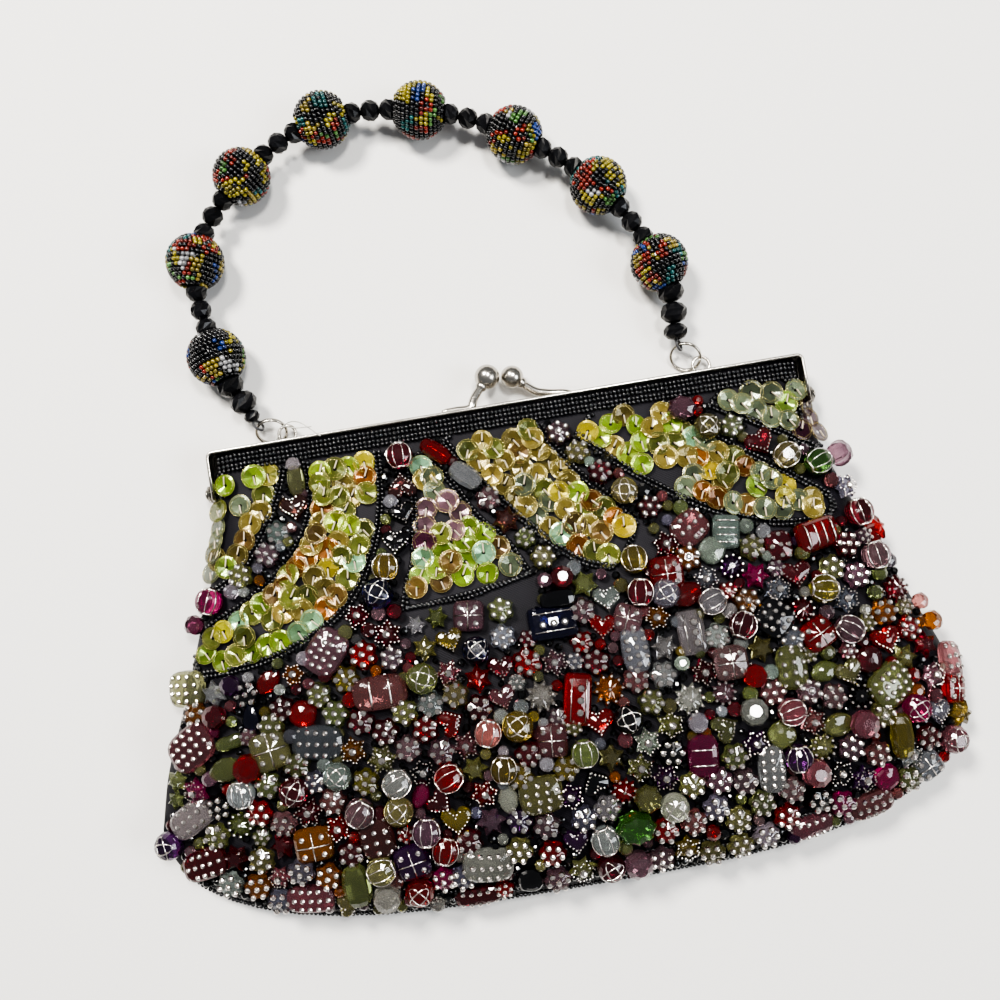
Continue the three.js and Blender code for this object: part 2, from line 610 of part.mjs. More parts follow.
// The thread follows the way, and ends in an eye round each ring's wire.
function threadOf(way, grips) {
  const stops = way.getSpacedPoints(THREAD.steps);
  let thread = solid(rod(stops, THREAD.radius, THREAD.sides, THREAD.steps));
  for (const { centre, wireWay } of grips) {
    const eye = new THREE.TorusGeometry(THREAD.eye, THREAD.radius, THREAD.sides, THREAD.eye_steps);
    eye.applyQuaternion(new THREE.Quaternion().setFromUnitVectors(UP, wireWay));
    thread = thread.add(solid(eye.translate(...centre.toArray())));
  }
  return thread;
}

const rings = () => [
  named("handle_ring_left", wireRing(RING, LEFT_LINK.ring, LEFT_LINK.tilt), METAL),
  named("handle_ring_right", wireRing(RING, RIGHT_LINK.ring, RIGHT_LINK.tilt), METAL),
];

const bag = new THREE.Group();
bag.add(named("pouch", pouch(), SATIN), ...frontWork(), ...frame(), ...rings(), ...handle());

// The origin goes under the middle of the whole object, on the surface that it lies on.
const box = new THREE.Box3().setFromObject(bag, true);
const middle = box.getCenter(new THREE.Vector3());
bag.position.set(-middle.x, -middle.y, 0);

const handbag = new THREE.Group();
handbag.add(bag);

export default handbag;
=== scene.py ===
"""Looks of a beaded evening handbag with a kiss-lock frame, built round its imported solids."""

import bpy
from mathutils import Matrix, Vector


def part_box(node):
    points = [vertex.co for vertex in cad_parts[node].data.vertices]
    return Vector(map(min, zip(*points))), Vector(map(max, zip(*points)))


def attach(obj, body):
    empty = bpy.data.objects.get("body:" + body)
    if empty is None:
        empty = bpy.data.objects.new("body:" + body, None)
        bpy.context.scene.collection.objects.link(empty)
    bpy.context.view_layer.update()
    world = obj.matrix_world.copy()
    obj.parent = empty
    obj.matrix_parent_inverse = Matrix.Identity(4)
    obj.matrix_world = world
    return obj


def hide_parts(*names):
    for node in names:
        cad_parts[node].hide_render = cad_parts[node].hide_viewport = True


bl_info = {
    "name": "Beaded Handbag",
    "version": (1, 0, 0),
    "blender": (4, 5, 0),
    "location": "View3D > Sidebar > Handbag",
    "description": "Builds the satin, beads, sequins, metal and handle of a kiss-lock evening bag",
    "category": "Add Mesh",
}

import bmesh
import bpy
import numpy as np
from mathutils import Matrix, Vector

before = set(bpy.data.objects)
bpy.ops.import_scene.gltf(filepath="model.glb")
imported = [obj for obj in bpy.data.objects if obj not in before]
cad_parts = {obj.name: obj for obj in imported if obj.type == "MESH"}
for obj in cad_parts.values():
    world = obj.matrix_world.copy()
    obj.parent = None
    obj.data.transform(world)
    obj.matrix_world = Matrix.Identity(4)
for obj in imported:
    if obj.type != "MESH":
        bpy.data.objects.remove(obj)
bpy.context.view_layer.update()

MM = 0.001
ROOT = "root"
NODE_LOW_Y = 14.1

# Places below are in millimetres from the middle of the metal frame's rail, X along the rail,
# Y towards the handle and Z up from the surface that the bag lies on.
SHIFT = np.array([0.0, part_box("frame_front")[0][1] / MM + NODE_LOW_Y, 0.0])

FRAME_LENGTH = 180.0
FRAME_MIDDLE_Z = 6.6
HALF_DEPTH = 5.8
HALF_SPACE = 0.2
RAIL = 1.0
ARM_DOWN = 14.0
HINGE_DOWN = 11.6
FRAME_CORNER = 1.6

MOUTH_DOWN = 0.8
SIDE_LENGTH = 106.2
BOTTOM_DROP = 36.0
CORNER_POWER = 3.25
EDGE_POWER = 8.0

# Sections of the pouch from mouth to bottom seam: how far down, half width, height of the front
# over the seam, depth of the back under it, height of the seam, and how square the section is.
SECTIONS = np.array([
    (0.00, 88.2, 4.1, 4.1, 6.6, 24.0),
    (0.13, 88.4, 5.2, 4.8, 6.4, 18.0),
    (0.30, 93.5, 9.0, 6.8, 6.2, 9.0),
    (0.50, 101.5, 13.0, 7.6, 5.8, 6.0),
    (0.70, 109.6, 15.0, 7.8, 5.4, 5.0),
    (0.85, 116.0, 15.4, 7.8, 5.0, 4.5),
    (1.00, 120.0, 14.6, 7.8, 4.6, 4.5),
])
HALF, RISE, SAG, SEAM, SQUARE = 1, 2, 3, 4, 5

# Folds of the front: from x, y to x, y, height and half width.
FOLDS = (
    (-114, -96, -84, -112, -3.2, 5),
    (-110, -80, -88, -94, 1.8, 9),
    (-66, -16, -80, -46, -1.2, 7),
    (50, -14, 84, -34, -1.2, 7),
    (0, -30, 8, -74, -1.4, 12),
)

# Sequinned leaves: x, y and half width along each leaf's middle line.
LEAVES = (
    ((-78, -2, 10), (-80, -12, 8.6), (-85, -23, 8), (-91, -32, 6.4), (-96, -38, 3)),
    ((-50.5, -4, 9.6), (-51, -20, 9.2), (-55, -33, 9.4), (-63, -44, 9.8), (-76, -52, 8.4),
     (-90, -56.5, 6.4), (-101, -59, 4)),
    ((-28, -12, 2.2), (-25, -24, 5.4), (-23, -35, 9), (-21, -44, 14), (-20, -53, 17.5)),
    ((-7, -2, 13), (0, -17, 10.6), (9, -30, 9.4), (19, -41, 9), (27, -47.5, 6)),
    ((30, -4, 12.5), (41, -18, 10.4), (55, -30, 9.2), (70, -39, 7.6), (82, -44, 4.4),
     (88, -46, 2)),
    ((73, -1, 15), (80, -11, 9.4), (86, -19, 5.6), (91, -26, 2.4)),
)
BORDER = 2.4
ROWS_DOWN = 6.2

# Rows of seed beads: y of those under the frame and their half length, x and lower end of those
# down its arms, distances outside the leaves, and v of those along the bottom seam.
FRAME_ROWS = (-1.9, -3.2, -4.7, -5.9)
FRAME_ROWS_HALF = 86.5
ARM_ROWS = ((-87.3, -13), (-86.0, -9), (87.3, -14), (86.0, -19), (84.7, -17), (83.4, -10))
LEAF_ROWS = (0.5, 1.8)
SEAM_ROWS = (0.989, 0.977, 0.963, 0.948)

# Sequins: the first row's way along a leaf, the steps between rows and along a row, how far they
# stay inside the leaf's edge, how far each strays, and the y that they stay under.
FIRST_SEQUIN_ROW, SEQUIN_ROW_STEP, SEQUIN_STEP = 2.2, 4.4, 4.9
SEQUIN_INSET, SEQUIN_STRAY, SEQUIN_TOP = 2.6, 0.6, -8.6

# Colours of the leaves' sequins, from the frame to the tip, drawn at random from each third.
LEAF_COLOURS = (
    ("moss lime moss straw", "straw bronze sage moss", "sage sage straw"),
    ("straw amber moss amber moss", "bronze amber moss straw", "lime moss lime moss"),
    ("straw sage mauve", "wine mauve moss", "moss lime sage bronze lime"),
    ("moss straw moss bronze", "straw moss sage straw", "bronze straw amber moss"),
    ("lime straw straw moss", "straw sage amber moss", "sage sage straw bronze"),
    ("sage sage moss", "sage wine sage", "wine mauve wine"),
)
# Colours of the painted highlights: flashes of light put on about a quarter of the sequins.
PAINTED_HIGHLIGHT_COLOURS = ("lime", "lime", "mint", "yellow", "straw")

# Places in the leaves where the cloth shows between the sequins, and how wide round each.
BARE = ((-85, -16), (-84, -22), (-88, -27), (-45, -23), (-47, -26), (46, -30), (43, -27),
        (-60, -55), (-64, -57), (-14, -52))
BARE_RADIUS = 3.0

# Beads of the front that stand out: x, y, kind, colour, length, width and turn in degrees.
BEADS = (
    (-64.5, -12.5, "tube", "olive", 9, 5, 90),
    (-66, -21, "heart", "rust", 9, 9, 5),
    (-72, -27, "flower", "clear", 8, 8, 0),
    (-76, -33, "flower", "mauve", 8, 8, 10),
    (-84, -38, "flower", "olive", 8, 8, 0),
    (-93, -44, "lantern", "magenta", 8, 8, 70),
    (-99, -50, "round", "wine", 6, 6, 0),
    (-33, -11, "lantern", "maroon", 8, 8, 90),
    (-34, -19.5, "heart", "rust", 9, 9, 180),
    (-35, -28, "heart", "black", 8, 8, 10),
    (-38, -36, "heart", "black", 9, 9, -10),
    (-42, -42.5, "lantern", "gold", 8, 8, 80),
    (-45, -50, "orbit", "navy", 9, 9, 20),
    (-52, -55, "star", "maroon", 8, 8, 0),
    (-44, -61, "star", "maroon", 9, 9, 20),
    (-22.5, -11, "tube", "red", 10, 5, -42),
    (-15.5, -19.5, "tube", "clear", 10, 6, -42),
    (-10, -27.5, "flower", "mauve", 8, 8, 0),
    (-5.5, -34.5, "plainstar", "rust", 9, 9, 10),
    (-1, -41, "flower", "olive", 7, 7, 0),
    (3, -47, "flower", "olive", 8, 8, 20),
    (7, -54, "round", "maroon", 7, 7, 0),
    (14, -11.5, "flower", "mauve", 8, 8, 0),
    (18.5, -18.5, "flower", "olive", 8, 8, 10),
    (24, -25.5, "flower", "maroon", 8, 8, 0),
    (30, -32, "orbit", "olive", 8, 8, 45),
    (36, -38, "flower", "maroon", 8, 8, 15),
    (46, -46, "pips", "rose", 11, 10, 35),
    (51.5, -10, "melon", "mauve", 9, 8, 0),
    (57, -17.5, "orbit", "olive", 8, 8, 0),
    (65, -18, "flower", "olive", 8, 8, 0),
    (72, -24.5, "heart", "maroon", 9, 9, 20),
    (78.5, -29.5, "lantern", "cream", 8, 8, 30),
    (86.5, -33, "lantern", "green", 8, 8, 20),
    (97, -31.5, "melon", "mauve", 8, 8, 0),
    (94, -41, "star", "smoke", 8, 8, 0),
    (-104, -67.5, "pips", "champagne", 13, 11, -3),
    (-90, -68, "round", "purple", 6, 6, 0),
    (-80, -69, "leaf", "red", 9, 6, 40),
    (-72.5, -68, "star", "amber", 7, 7, 0),
    (-62, -63.5, "pips", "mauve", 14, 11, 50),
    (-52, -66, "flower", "red", 9, 9, 0),
    (-44, -68.5, "flower", "mauve", 8, 8, 0),
    (-49, -77, "segments", "rose", 16, 10, 0),
    (-36, -60, "plainstar", "clear", 6, 6, 0),
    (-29.5, -59, "plainstar", "olive", 7, 7, 0),
    (-20.5, -60, "cross", "mauve", 9, 9, -8),
    (-11.5, -60, "flower", "olive", 8, 8, 0),
    (-12, -67.5, "flower", "clear", 8, 8, 0),
    (-34.5, -67, "plainstar", "olive", 8, 8, 20),
    (-27, -66, "heart", "gold", 8, 8, 10),
    (-20.5, -70, "orbit", "navy", 8, 8, 0),
    (-37, -75, "orbit", "olive", 9, 9, 30),
    (-29, -74.5, "star", "rose", 8, 8, 0),
    (-14, -76, "heart", "maroon", 8, 8, 0),
    (-6.5, -75.5, "flower", "red", 9, 9, 0),
    (-96, -76.5, "round", "maroon", 7, 7, 0),
    (-86, -78, "pear", "navy", 9, 7, 90),
    (-77, -77, "flower", "maroon", 8, 8, 0),
    (-66, -75, "flower", "olive", 8, 8, 0),
    (-104, -84, "pips", "rose", 15, 12, 30),
    (-93, -84, "bow", "olive", 9, 7, 10),
    (-95, -91, "leaf", "olive", 11, 7, 10),
    (-82, -88, "cross", "olive", 11, 11, 10),
    (-68, -87.5, "pips", "smoke", 15, 10, -10),
    (-91, -98, "lantern", "clear", 8, 8, 90),
    (-64, -98, "orbit", "clear", 8, 8, 0),
    (-51, -95, "star", "olive", 9, 9, 0),
    (-20.5, -92.5, "lantern", "pink", 8, 8, 70),
    (-12, -93, "orbit", "gold", 9, 9, 0),
    (-3, -98, "cross", "rose", 10, 9, 85),
    (-15, -84, "heart", "rose", 8, 8, 10),
    (-4, -85.5, "spider", "clear", 10, 10, 0),
    (-26, -102, "plainstar", "olive", 8, 8, 0),
    (-18, -103, "lantern", "gold", 8, 8, 80),
    (-42, -107, "leaf", "magenta", 8, 5, 60),
    (-9, -112, "pips", "olive", 13, 11, 0),
    (-18, -112, "leaf", "clear", 9, 6, 90),
    (-33, -115, "heart", "gold", 9, 9, 0),
    (-24, -117, "plainstar", "mauve", 9, 9, 0),
    (-74, -115, "cross", "amber", 11, 10, 0),
    (-74, -106, "star", "maroon", 9, 9, 0),
    (-56, -116, "pips", "rust", 13, 10, 95),
    (-108, -104, "pips", "clear", 14, 9, 30),
    (-106, -117, "pips", "maroon", 14, 9, 10),
    (-78, -131, "pips", "rose", 14, 8, -8),
    (-64, -128, "tube", "olive", 12, 8, 90),
    (-47.5, -124.5, "cross", "purple", 10, 10, 10),
    (-38, -123, "lantern", "red", 8, 8, 70),
    (-39.5, -131, "flower", "magenta", 8, 8, 0),
    (-27, -129, "pips", "clear", 15, 10, -10),
    (-31, -138, "pips", "maroon", 14, 6, 0),
    (-1, -127, "heart", "purple", 8, 8, 0),
    (2.5, -66, "bar", "navy", 14, 10, 0),
    (5.5, -60, "tube", "black", 10, 6, 0),
    (16.5, -69, "heart", "red", 8, 8, -10),
    (24, -77, "pips", "clear", 14, 8, 90),
    (32.5, -69, "star", "amber", 8, 8, 0),
    (40.5, -75, "bar", "clear", 13, 8, 90),
    (37, -57, "cross", "red", 10, 10, 0),
    (41.5, -64.5, "leaf", "red", 10, 7, 25),
    (29, -53, "lantern", "gold", 8, 8, 90),
    (29, -61.5, "lantern", "maroon", 8, 8, 80),
    (48, -67.5, "lantern", "clear", 8, 8, 20),
    (54.5, -75.5, "lantern", "maroon", 8, 8, 60),
    (64.5, -75, "pips", "black", 11, 11, 45),
    (73.5, -64, "heart", "maroon", 9, 9, 0),
    (76, -81.5, "cross", "red", 10, 9, 25),
    (95.5, -86.5, "heart", "red", 9, 9, 10),
    (50, -85, "cross", "mauve", 10, 10, 0),
    (66.5, -89, "pips", "olive", 13, 9, 90),
    (76, -92, "leaf", "olive", 9, 6, 10),
    (94, -99, "pips", "olive", 14, 12, 30),
    (115, -92, "pips", "pink", 13, 8, 80),
    (114, -104, "cross", "red", 9, 8, 80),
    (107.5, -109.5, "heart", "smoke", 8, 8, 0),
    (5.5, -88, "bar", "red", 15, 8, 78),
    (15, -87, "spider", "amber", 10, 10, 0),
    (11, -96, "heart", "red", 9, 9, 0),
    (37, -93, "spider", "clear", 10, 10, 0),
    (38, -99.5, "round", "clear", 6, 6, 0),
    (47, -93, "spider", "mauve", 8, 8, 0),
    (56, -90, "round", "red", 7, 7, 0),
    (5, -102, "lantern", "olive", 8, 8, 90),
    (14.5, -115, "spider", "red", 8, 8, 0),
    (38, -109, "segments", "magenta", 13, 9, 85),
    (64, -101, "lantern", "pink", 8, 8, 10),
    (77, -107, "leaf", "olive", 11, 7, 0),
    (64, -113.5, "lantern", "purple", 8, 8, 90),
    (56.5, -116, "pips", "clear", 14, 8, 86),
    (94.5, -113, "tube", "gold", 13, 7, 90),
    (103, -84.5, "flower", "red", 8, 8, 0),
    (15.5, -125, "melon", "green", 12, 10, 0),
    (66, -134.5, "pips", "rose", 14, 7, 5),
    (84, -131.5, "pips", "rose", 14, 8, 12),
    (81, -53.5, "lines", "red", 14, 9, 8),
    (56, -48.5, "lines", "clear", 10, 8, 80),
    (70, -55, "pips", "maroon", 9, 8, 90),
    (111, -81, "round", "amber", 6, 6, 0),
    (109, -75.5, "round", "pink", 5, 5, 0),
    (101.5, -53.5, "plainstar", "red", 9, 9, 0),
)

# Kinds and colours that fill the field between them: name and how often it comes.
FILL_KINDS = (("flower", 50), ("star", 12), ("plainstar", 7), ("heart", 5), ("lantern", 6),
              ("orbit", 4), ("spider", 6), ("round", 3), ("leaf", 3), ("melon", 1), ("cross", 3))
FILL_COLOURS = (("clear", 18), ("olive", 19), ("mauve", 17), ("maroon", 15), ("red", 9), ("rose", 5),
                ("magenta", 3), ("amber", 4), ("smoke", 5), ("gold", 3), ("black", 4), ("purple", 2))
FILL_SIZES = ((8.4, 5000), (7.2, 4000), (6.0, 4000), (4.6, 5000), (3.4, 7000), (2.4, 9000), (1.8, 6000))

# Least distance between two beads as a share of their radii added up, for the largest size and for
# the others, and the least diameter of a bead that isn't a plain round one.
FIRST_SPACING, SPACING = 0.70, 0.80
LEAST_PATTERNED = 5.2

# Colours of the beads and sequins, as linear red, green and blue.
PALETTE = {
    "clear": (0.44, 0.46, 0.44), "smoke": (0.22, 0.22, 0.27), "olive": (0.26, 0.27, 0.11),
    "green": (0.07, 0.17, 0.04), "mauve": (0.27, 0.15, 0.18), "rose": (0.31, 0.11, 0.12),
    "pink": (0.50, 0.20, 0.20), "rust": (0.15, 0.055, 0.045), "red": (0.34, 0.012, 0.010),
    "maroon": (0.16, 0.014, 0.022), "wine": (0.09, 0.02, 0.045), "magenta": (0.32, 0.02, 0.11),
    "purple": (0.07, 0.015, 0.09), "amber": (0.34, 0.12, 0.015), "gold": (0.26, 0.20, 0.035),
    "champagne": (0.34, 0.29, 0.18), "cream": (0.30, 0.23, 0.12), "navy": (0.006, 0.007, 0.045),
    "black": (0.008, 0.008, 0.010), "lime": (0.24, 0.38, 0.035), "mint": (0.25, 0.50, 0.30),
    "yellow": (0.50, 0.42, 0.035), "moss": (0.20, 0.23, 0.045), "straw": (0.32, 0.25, 0.06),
    "bronze": (0.20, 0.12, 0.035), "sage": (0.21, 0.26, 0.16), "teal": (0.012, 0.09, 0.09),
    "blue": (0.02, 0.05, 0.20), "silver": (0.35, 0.35, 0.36), "jet": (0.005, 0.005, 0.006),
    "olive_gold": (0.25, 0.21, 0.02), "brick": (0.20, 0.018, 0.008),
}

# Clasp: each arm's way from the rail to its ball and the ball's radius, and both arms' radius at
# shares of that way.
CLASP_FRONT = (((-19, 0.8, 10.6), (-14.7, 0.8, 10.5), (-10.4, 0.8, 10.4), (-8.6, 3.8, 9.7),
                (-3.9, 9.6, 7.9)), 3.8)
CLASP_BACK = (((21.5, 0.6, 2.9), (19, 1.9, 3.1), (13.5, 2.7, 3.3), (9.6, 4.0, 3.8), (3.6, 8.9, 5.2)), 3.5)

CLASP_ARM = ((0, 0.08, 0.4, 0.6, 0.85, 1.0), (0.55, 0.9, 1.1, 1.3, 1.25, 1.4))

# Links at the handle's ends: loop's centre, ring's centre, its tilts about X and then Y, and the
# angle round the ring where the thread holds it.
LINKS = (
    ("left", (-66.6, 3.2, 3.4), (-71.1, 4.6, 4.2), (48, 0), 135),
    ("right", (61.3, 3.2, 3.4), (57.0, 6.5, 3.8), (36, -24), 100),
)
LOOP_RADIUS, LOOP_WIRE = 2.6, 0.48
RING_RADIUS, RING_WIRE = 4.5, 0.4
RING_TURNS, RING_RISE = 1.94, 0.7

# Handle's thread: radius of the eye at each end and of its strand, radius of the knot, mean radius
# of the thread, height of its two lobes, and the length in which they turn once.
THREAD_EYE, EYE_WIRE, KNOT_RADIUS = 1.75, 0.4, 0.85
THREAD_RADIUS, THREAD_LOBE, THREAD_LAY = 0.33, 0.12, 3.2
THREAD_STEP = 0.55
LOOSE_RADIUS = 0.17

# Nets of the handle's balls: radius to the seed beads' middles, a seed bead's radius, step along a
# ring, rings, angle of the outermost ring, and radius of the black core.
NET_RADIUS, NET_SEED, NET_STEP = 8.1, 0.78, 1.42
NET_RINGS, NET_END = 13, 61
CORE_RADIUS = 7.6
NET_COLOURS = (("jet", 0.32), ("black", 0.1), ("brick", 0.18), ("olive_gold", 0.14), ("gold", 0.07),
               ("teal", 0.06), ("blue", 0.04), ("silver", 0.03), ("green", 0.06))

# Loose ends of clear thread at the left ring, which lie over the frame's rail.
LOOSE_STRANDS = (
    ((-69.5, 1.2, 7.2), (-66.2, 5.2, 8.6), (-61.2, 4.6, 12.6), (-55.4, -0.6, 13.0)),
    ((-69.2, 1.6, 7.4), (-66.6, 4.4, 9.6), (-62.4, 3.0, 12.9), (-57.6, 2.6, 13.2)),
)

# Radius and half length of each kind of cut glass bead.
CUT_SIZES = {
    "cut_bead": (3.25, 2.85), "end_bead_left": (4.2, 3.1), "end_bead_right": (4.2, 3.1),
    "tip_bead_left": (2.5, 1.7), "tip_bead_right": (3.8, 2.5),
}

# Camera: its place, how far it leans towards the handle, its roll, and its focal length in
# widths of the picture.
CAMERA_PLACE = (-10.628, -53.806, 329.8)
CAMERA_LEAN = 4.7
CAMERA_ROLL = 9.57
FOCAL_WIDTHS = 1.082
SENSOR = 36.0


def column(v, key):
    """One column of the sections at v: a cubic between rows, with slopes from each row's neighbours."""
    x, y = SECTIONS[:, 0], SECTIONS[:, key]
    v = np.asarray(v, float)
    slope = np.empty(len(x))
    slope[1:-1] = (y[2:] - y[:-2]) / (x[2:] - x[:-2])
    slope[0] = (y[1] - y[0]) / (x[1] - x[0])
    slope[-1] = (y[-1] - y[-2]) / (x[-1] - x[-2])
    i = np.clip(np.searchsorted(x, v) - 1, 0, len(x) - 2)
    span = x[i + 1] - x[i]
    t = (v - x[i]) / span
    return ((2 * t**3 - 3 * t**2 + 1) * y[i] + (t**3 - 2 * t**2 + t) * span * slope[i]
            + (3 * t**2 - 2 * t**3) * y[i + 1] + (t**3 - t**2) * span * slope[i + 1])


def bottom_curve(u):
    """Root of one minus u's size to the corner power: 1 across the middle, 0 at the side seams."""
    return np.sqrt(np.clip(1 - np.abs(u) ** CORNER_POWER, 0, None))


def plan(u, v):
    """x is u times the half width at v; y falls with v, and with v squared times the bottom curve."""
    x = u * column(v, HALF)
    return x, -(MOUTH_DOWN + SIDE_LENGTH * v + BOTTOM_DROP * v * v * bottom_curve(u))


def fold_height(x, y):
    """Sum of the folds: each is its height times a bell curve of the distance from its line."""
    total = np.zeros(np.shape(x))
    for x1, y1, x2, y2, height, spread in FOLDS:
        dx, dy = x2 - x1, y2 - y1
        along = np.clip(((x - x1) * dx + (y - y1) * dy) / (dx * dx + dy * dy), 0, 1)
        off = np.hypot(x - x1 - along * dx, y - y1 - along * dy)
        total = total + height * np.exp(-((off / spread) ** 2))
    return total


def swell(u, v):
    """Product of two rounded steps, which is 1 inside and falls to 0 at the side and bottom seams."""
    across = np.sqrt(np.clip(1 - np.abs(u) ** column(v, SQUARE), 0, None))
    return across * np.sqrt(np.clip(1 - v**EDGE_POWER, 0, None))


def front(u, v):
    """Front of the pouch: plan of u and v, and the seam's height plus rise and folds times the swell."""
    x, y = plan(u, v)
    z = column(v, SEAM) + (column(v, RISE) + fold_height(x, y)) * swell(u, v)
    return np.stack([x, y, z], -1)


def back(u, v):
    """Back of the pouch: plan of u and v, and the seam's height less sag times the swell, never below 0."""
    x, y = plan(u, v)
    z = np.clip(column(v, SEAM) - column(v, SAG) * swell(u, v), 0, None)
    return np.stack([x, y, z], -1)


def where_on(x, y):
    """u and v of a place in plan: each is solved from the other, twelve times over."""
    x, y = np.asarray(x, float), np.asarray(y, float)
    u, v = np.zeros_like(x), np.zeros_like(x)
    for _ in range(12):
        drop = BOTTOM_DROP * bottom_curve(u)
        far = np.clip(-y - MOUTH_DOWN, 0, None)
        v = np.clip(2 * far / (SIDE_LENGTH + np.sqrt(SIDE_LENGTH**2 + 4 * drop * far)), 0, 1)
        u = np.clip(x / column(v, HALF), -1, 1)
    return u, v


def unit(a):
    """Vectors divided by their own length."""
    return a / np.maximum(np.linalg.norm(a, axis=-1, keepdims=True), 1e-9)


def stand_on_front(x, y, level=0.0):
    """Points of the front at plan places, and a frame of axes at each whose third axis is the normal,
    to which a share of straight up may be added."""
    u, v = where_on(x, y)
    u, v = np.clip(u, -0.992, 0.992), np.clip(v, 0.004, 0.994)
    d = 2e-3
    across = front(u + d, v) - front(u - d, v)
    down = front(u, v - d) - front(u, v + d)
    normal = unit(unit(np.cross(across, down)) + np.array([0.0, 0.0, level]))
    first = unit(np.stack([normal[:, 2], np.zeros(len(u)), -normal[:, 0]], -1))
    return front(u, v), np.stack([first, np.cross(normal, first), normal], -1)


def turn_about_normal(frames, degrees):
    """Frames turned about their own third axis: new first axis is cosine of first plus sine of second."""
    c, s = np.cos(np.radians(degrees))[:, None], np.sin(np.radians(degrees))[:, None]
    a, b, n = frames[..., 0], frames[..., 1], frames[..., 2]
    return np.stack([c * a + s * b, c * b - s * a, n], -1)


def tilt(frames, rng, degrees):
    """Frames leant by a small random angle: each axis gains a random share of the others."""
    lean = rng.normal(0, np.radians(degrees), (len(frames), 2))
    n = unit(frames[..., 2] + lean[:, :1] * frames[..., 0] + lean[:, 1:] * frames[..., 1])
    b = unit(np.cross(n, frames[..., 0]))
    return np.stack([np.cross(b, n), b, n], -1)


class Shape:
    """Points, and faces as one list of corners with each face's corner count."""

    def __init__(self, points, corners, counts):
        self.points, self.corners, self.counts = points, corners, counts


def grid_shape(rows, wrap=True, close=(True, True)):
    """Quads between neighbouring rows and columns of a point grid; the end rows may be closed by one face."""
    rows = np.asarray(rows, float)
    n, m = rows.shape[:2]
    j, i = np.meshgrid(np.arange(n - 1), np.arange(m if wrap else m - 1), indexing="ij")
    i2 = (i + 1) % m
    quads = np.stack([j * m + i, j * m + i2, (j + 1) * m + i2, (j + 1) * m + i], -1).reshape(-1)
    corners, counts = [quads], [np.full(len(quads) // 4, 4)]
    if close[0]:
        corners.append(np.arange(m)[::-1])
        counts.append([m])
    if close[1]:
        corners.append(np.arange(m) + (n - 1) * m)
        counts.append([m])
    return Shape(rows.reshape(-1, 3), np.concatenate(corners), np.concatenate(counts))


def stamped(shape, centres, frames, scales):
    """The shape once at each centre: its points times the scales, carried by the frame's axes, plus
    the centre."""
    k, n = len(centres), len(shape.points)
    scales = np.broadcast_to(scales, (k, 3))
    local = shape.points[None] * scales[:, None]
    points = np.einsum("kij,knj->kni", frames, local) + centres[:, None]
    corners = (shape.corners[None] + (np.arange(k) * n)[:, None]).reshape(-1)
    return Shape(points.reshape(-1, 3), corners, np.tile(shape.counts, k))


def joined(shapes):
    """Several shapes as one: their points in a row, and their corners counted on."""
    starts = np.cumsum([0] + [len(s.points) for s in shapes[:-1]])
    corners = np.concatenate([s.corners + start for s, start in zip(shapes, starts)])
    return Shape(np.concatenate([s.points for s in shapes]), corners,
                 np.concatenate([s.counts for s in shapes]))


def tints(shape, colours):
    """One colour for each face of a stamped shape, from one colour for each copy."""
    return np.repeat(colours, len(shape.counts) // len(colours), axis=0)


def add_object(name, shape, material, tint=None, smooth=True, merge=0.0):
    """A mesh object at the origin from a shape in millimetres, with an optional colour for each face."""
    mesh = bpy.data.meshes.new(name)
    mesh.vertices.add(len(shape.points))
    mesh.vertices.foreach_set("co", ((shape.points + SHIFT) * MM).astype(np.float32).ravel())
    mesh.loops.add(len(shape.corners))
    mesh.loops.foreach_set("vertex_index", shape.corners.astype(np.int32))
    mesh.polygons.add(len(shape.counts))
    starts = np.concatenate([[0], np.cumsum(shape.counts)[:-1]]).astype(np.int32)
    mesh.polygons.foreach_set("loop_start", starts)
    mesh.polygons.foreach_set("use_smooth", np.full(len(starts), smooth))
    mesh.update(calc_edges=True)
    if mesh.validate():
        raise RuntimeError(f"{name} has faces that don't fit together")
    if tint is not None:
        colours = np.concatenate([tint, np.ones((len(tint), 1))], 1).astype(np.float32)
        mesh.attributes.new("tint", "FLOAT_COLOR", "FACE").data.foreach_set("color", colours.ravel())
    if merge:
        work = bmesh.new()
        work.from_mesh(mesh)
        bmesh.ops.remove_doubles(work, verts=work.verts, dist=merge * MM)
        work.to_mesh(mesh)
        work.free()
    mesh.materials.append(material)
    piece = bpy.data.objects.new(name, mesh)
    bpy.context.scene.collection.objects.link(piece)
    return piece


def declare(piece, slot, *nodes):
    """The piece rides with the bag and stands for the nodes, which it hides; the slot is not used."""
    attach(piece, ROOT)
    if nodes:
        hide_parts(*nodes)


def frames_along(path, closed=False):
    """Axes at each point of a path: the third is the path's way, the first two are carried along it."""
    if closed:
        way = unit(np.roll(path, -1, 0) - np.roll(path, 1, 0))
    else:
        way = unit(np.gradient(path, axis=0))
    up = np.array([0.0, 0.0, 1.0]) if abs(way[0, 2]) < 0.9 else np.array([1.0, 0.0, 0.0])
    side = unit(np.cross(up, way[0]))
    sides = []
    for direction in way:
        side = side - direction * np.dot(side, direction)
        side = side / np.linalg.norm(side)
        sides.append(side)
    sides = np.array(sides)
    return np.stack([sides, np.cross(way, sides), way], -1)


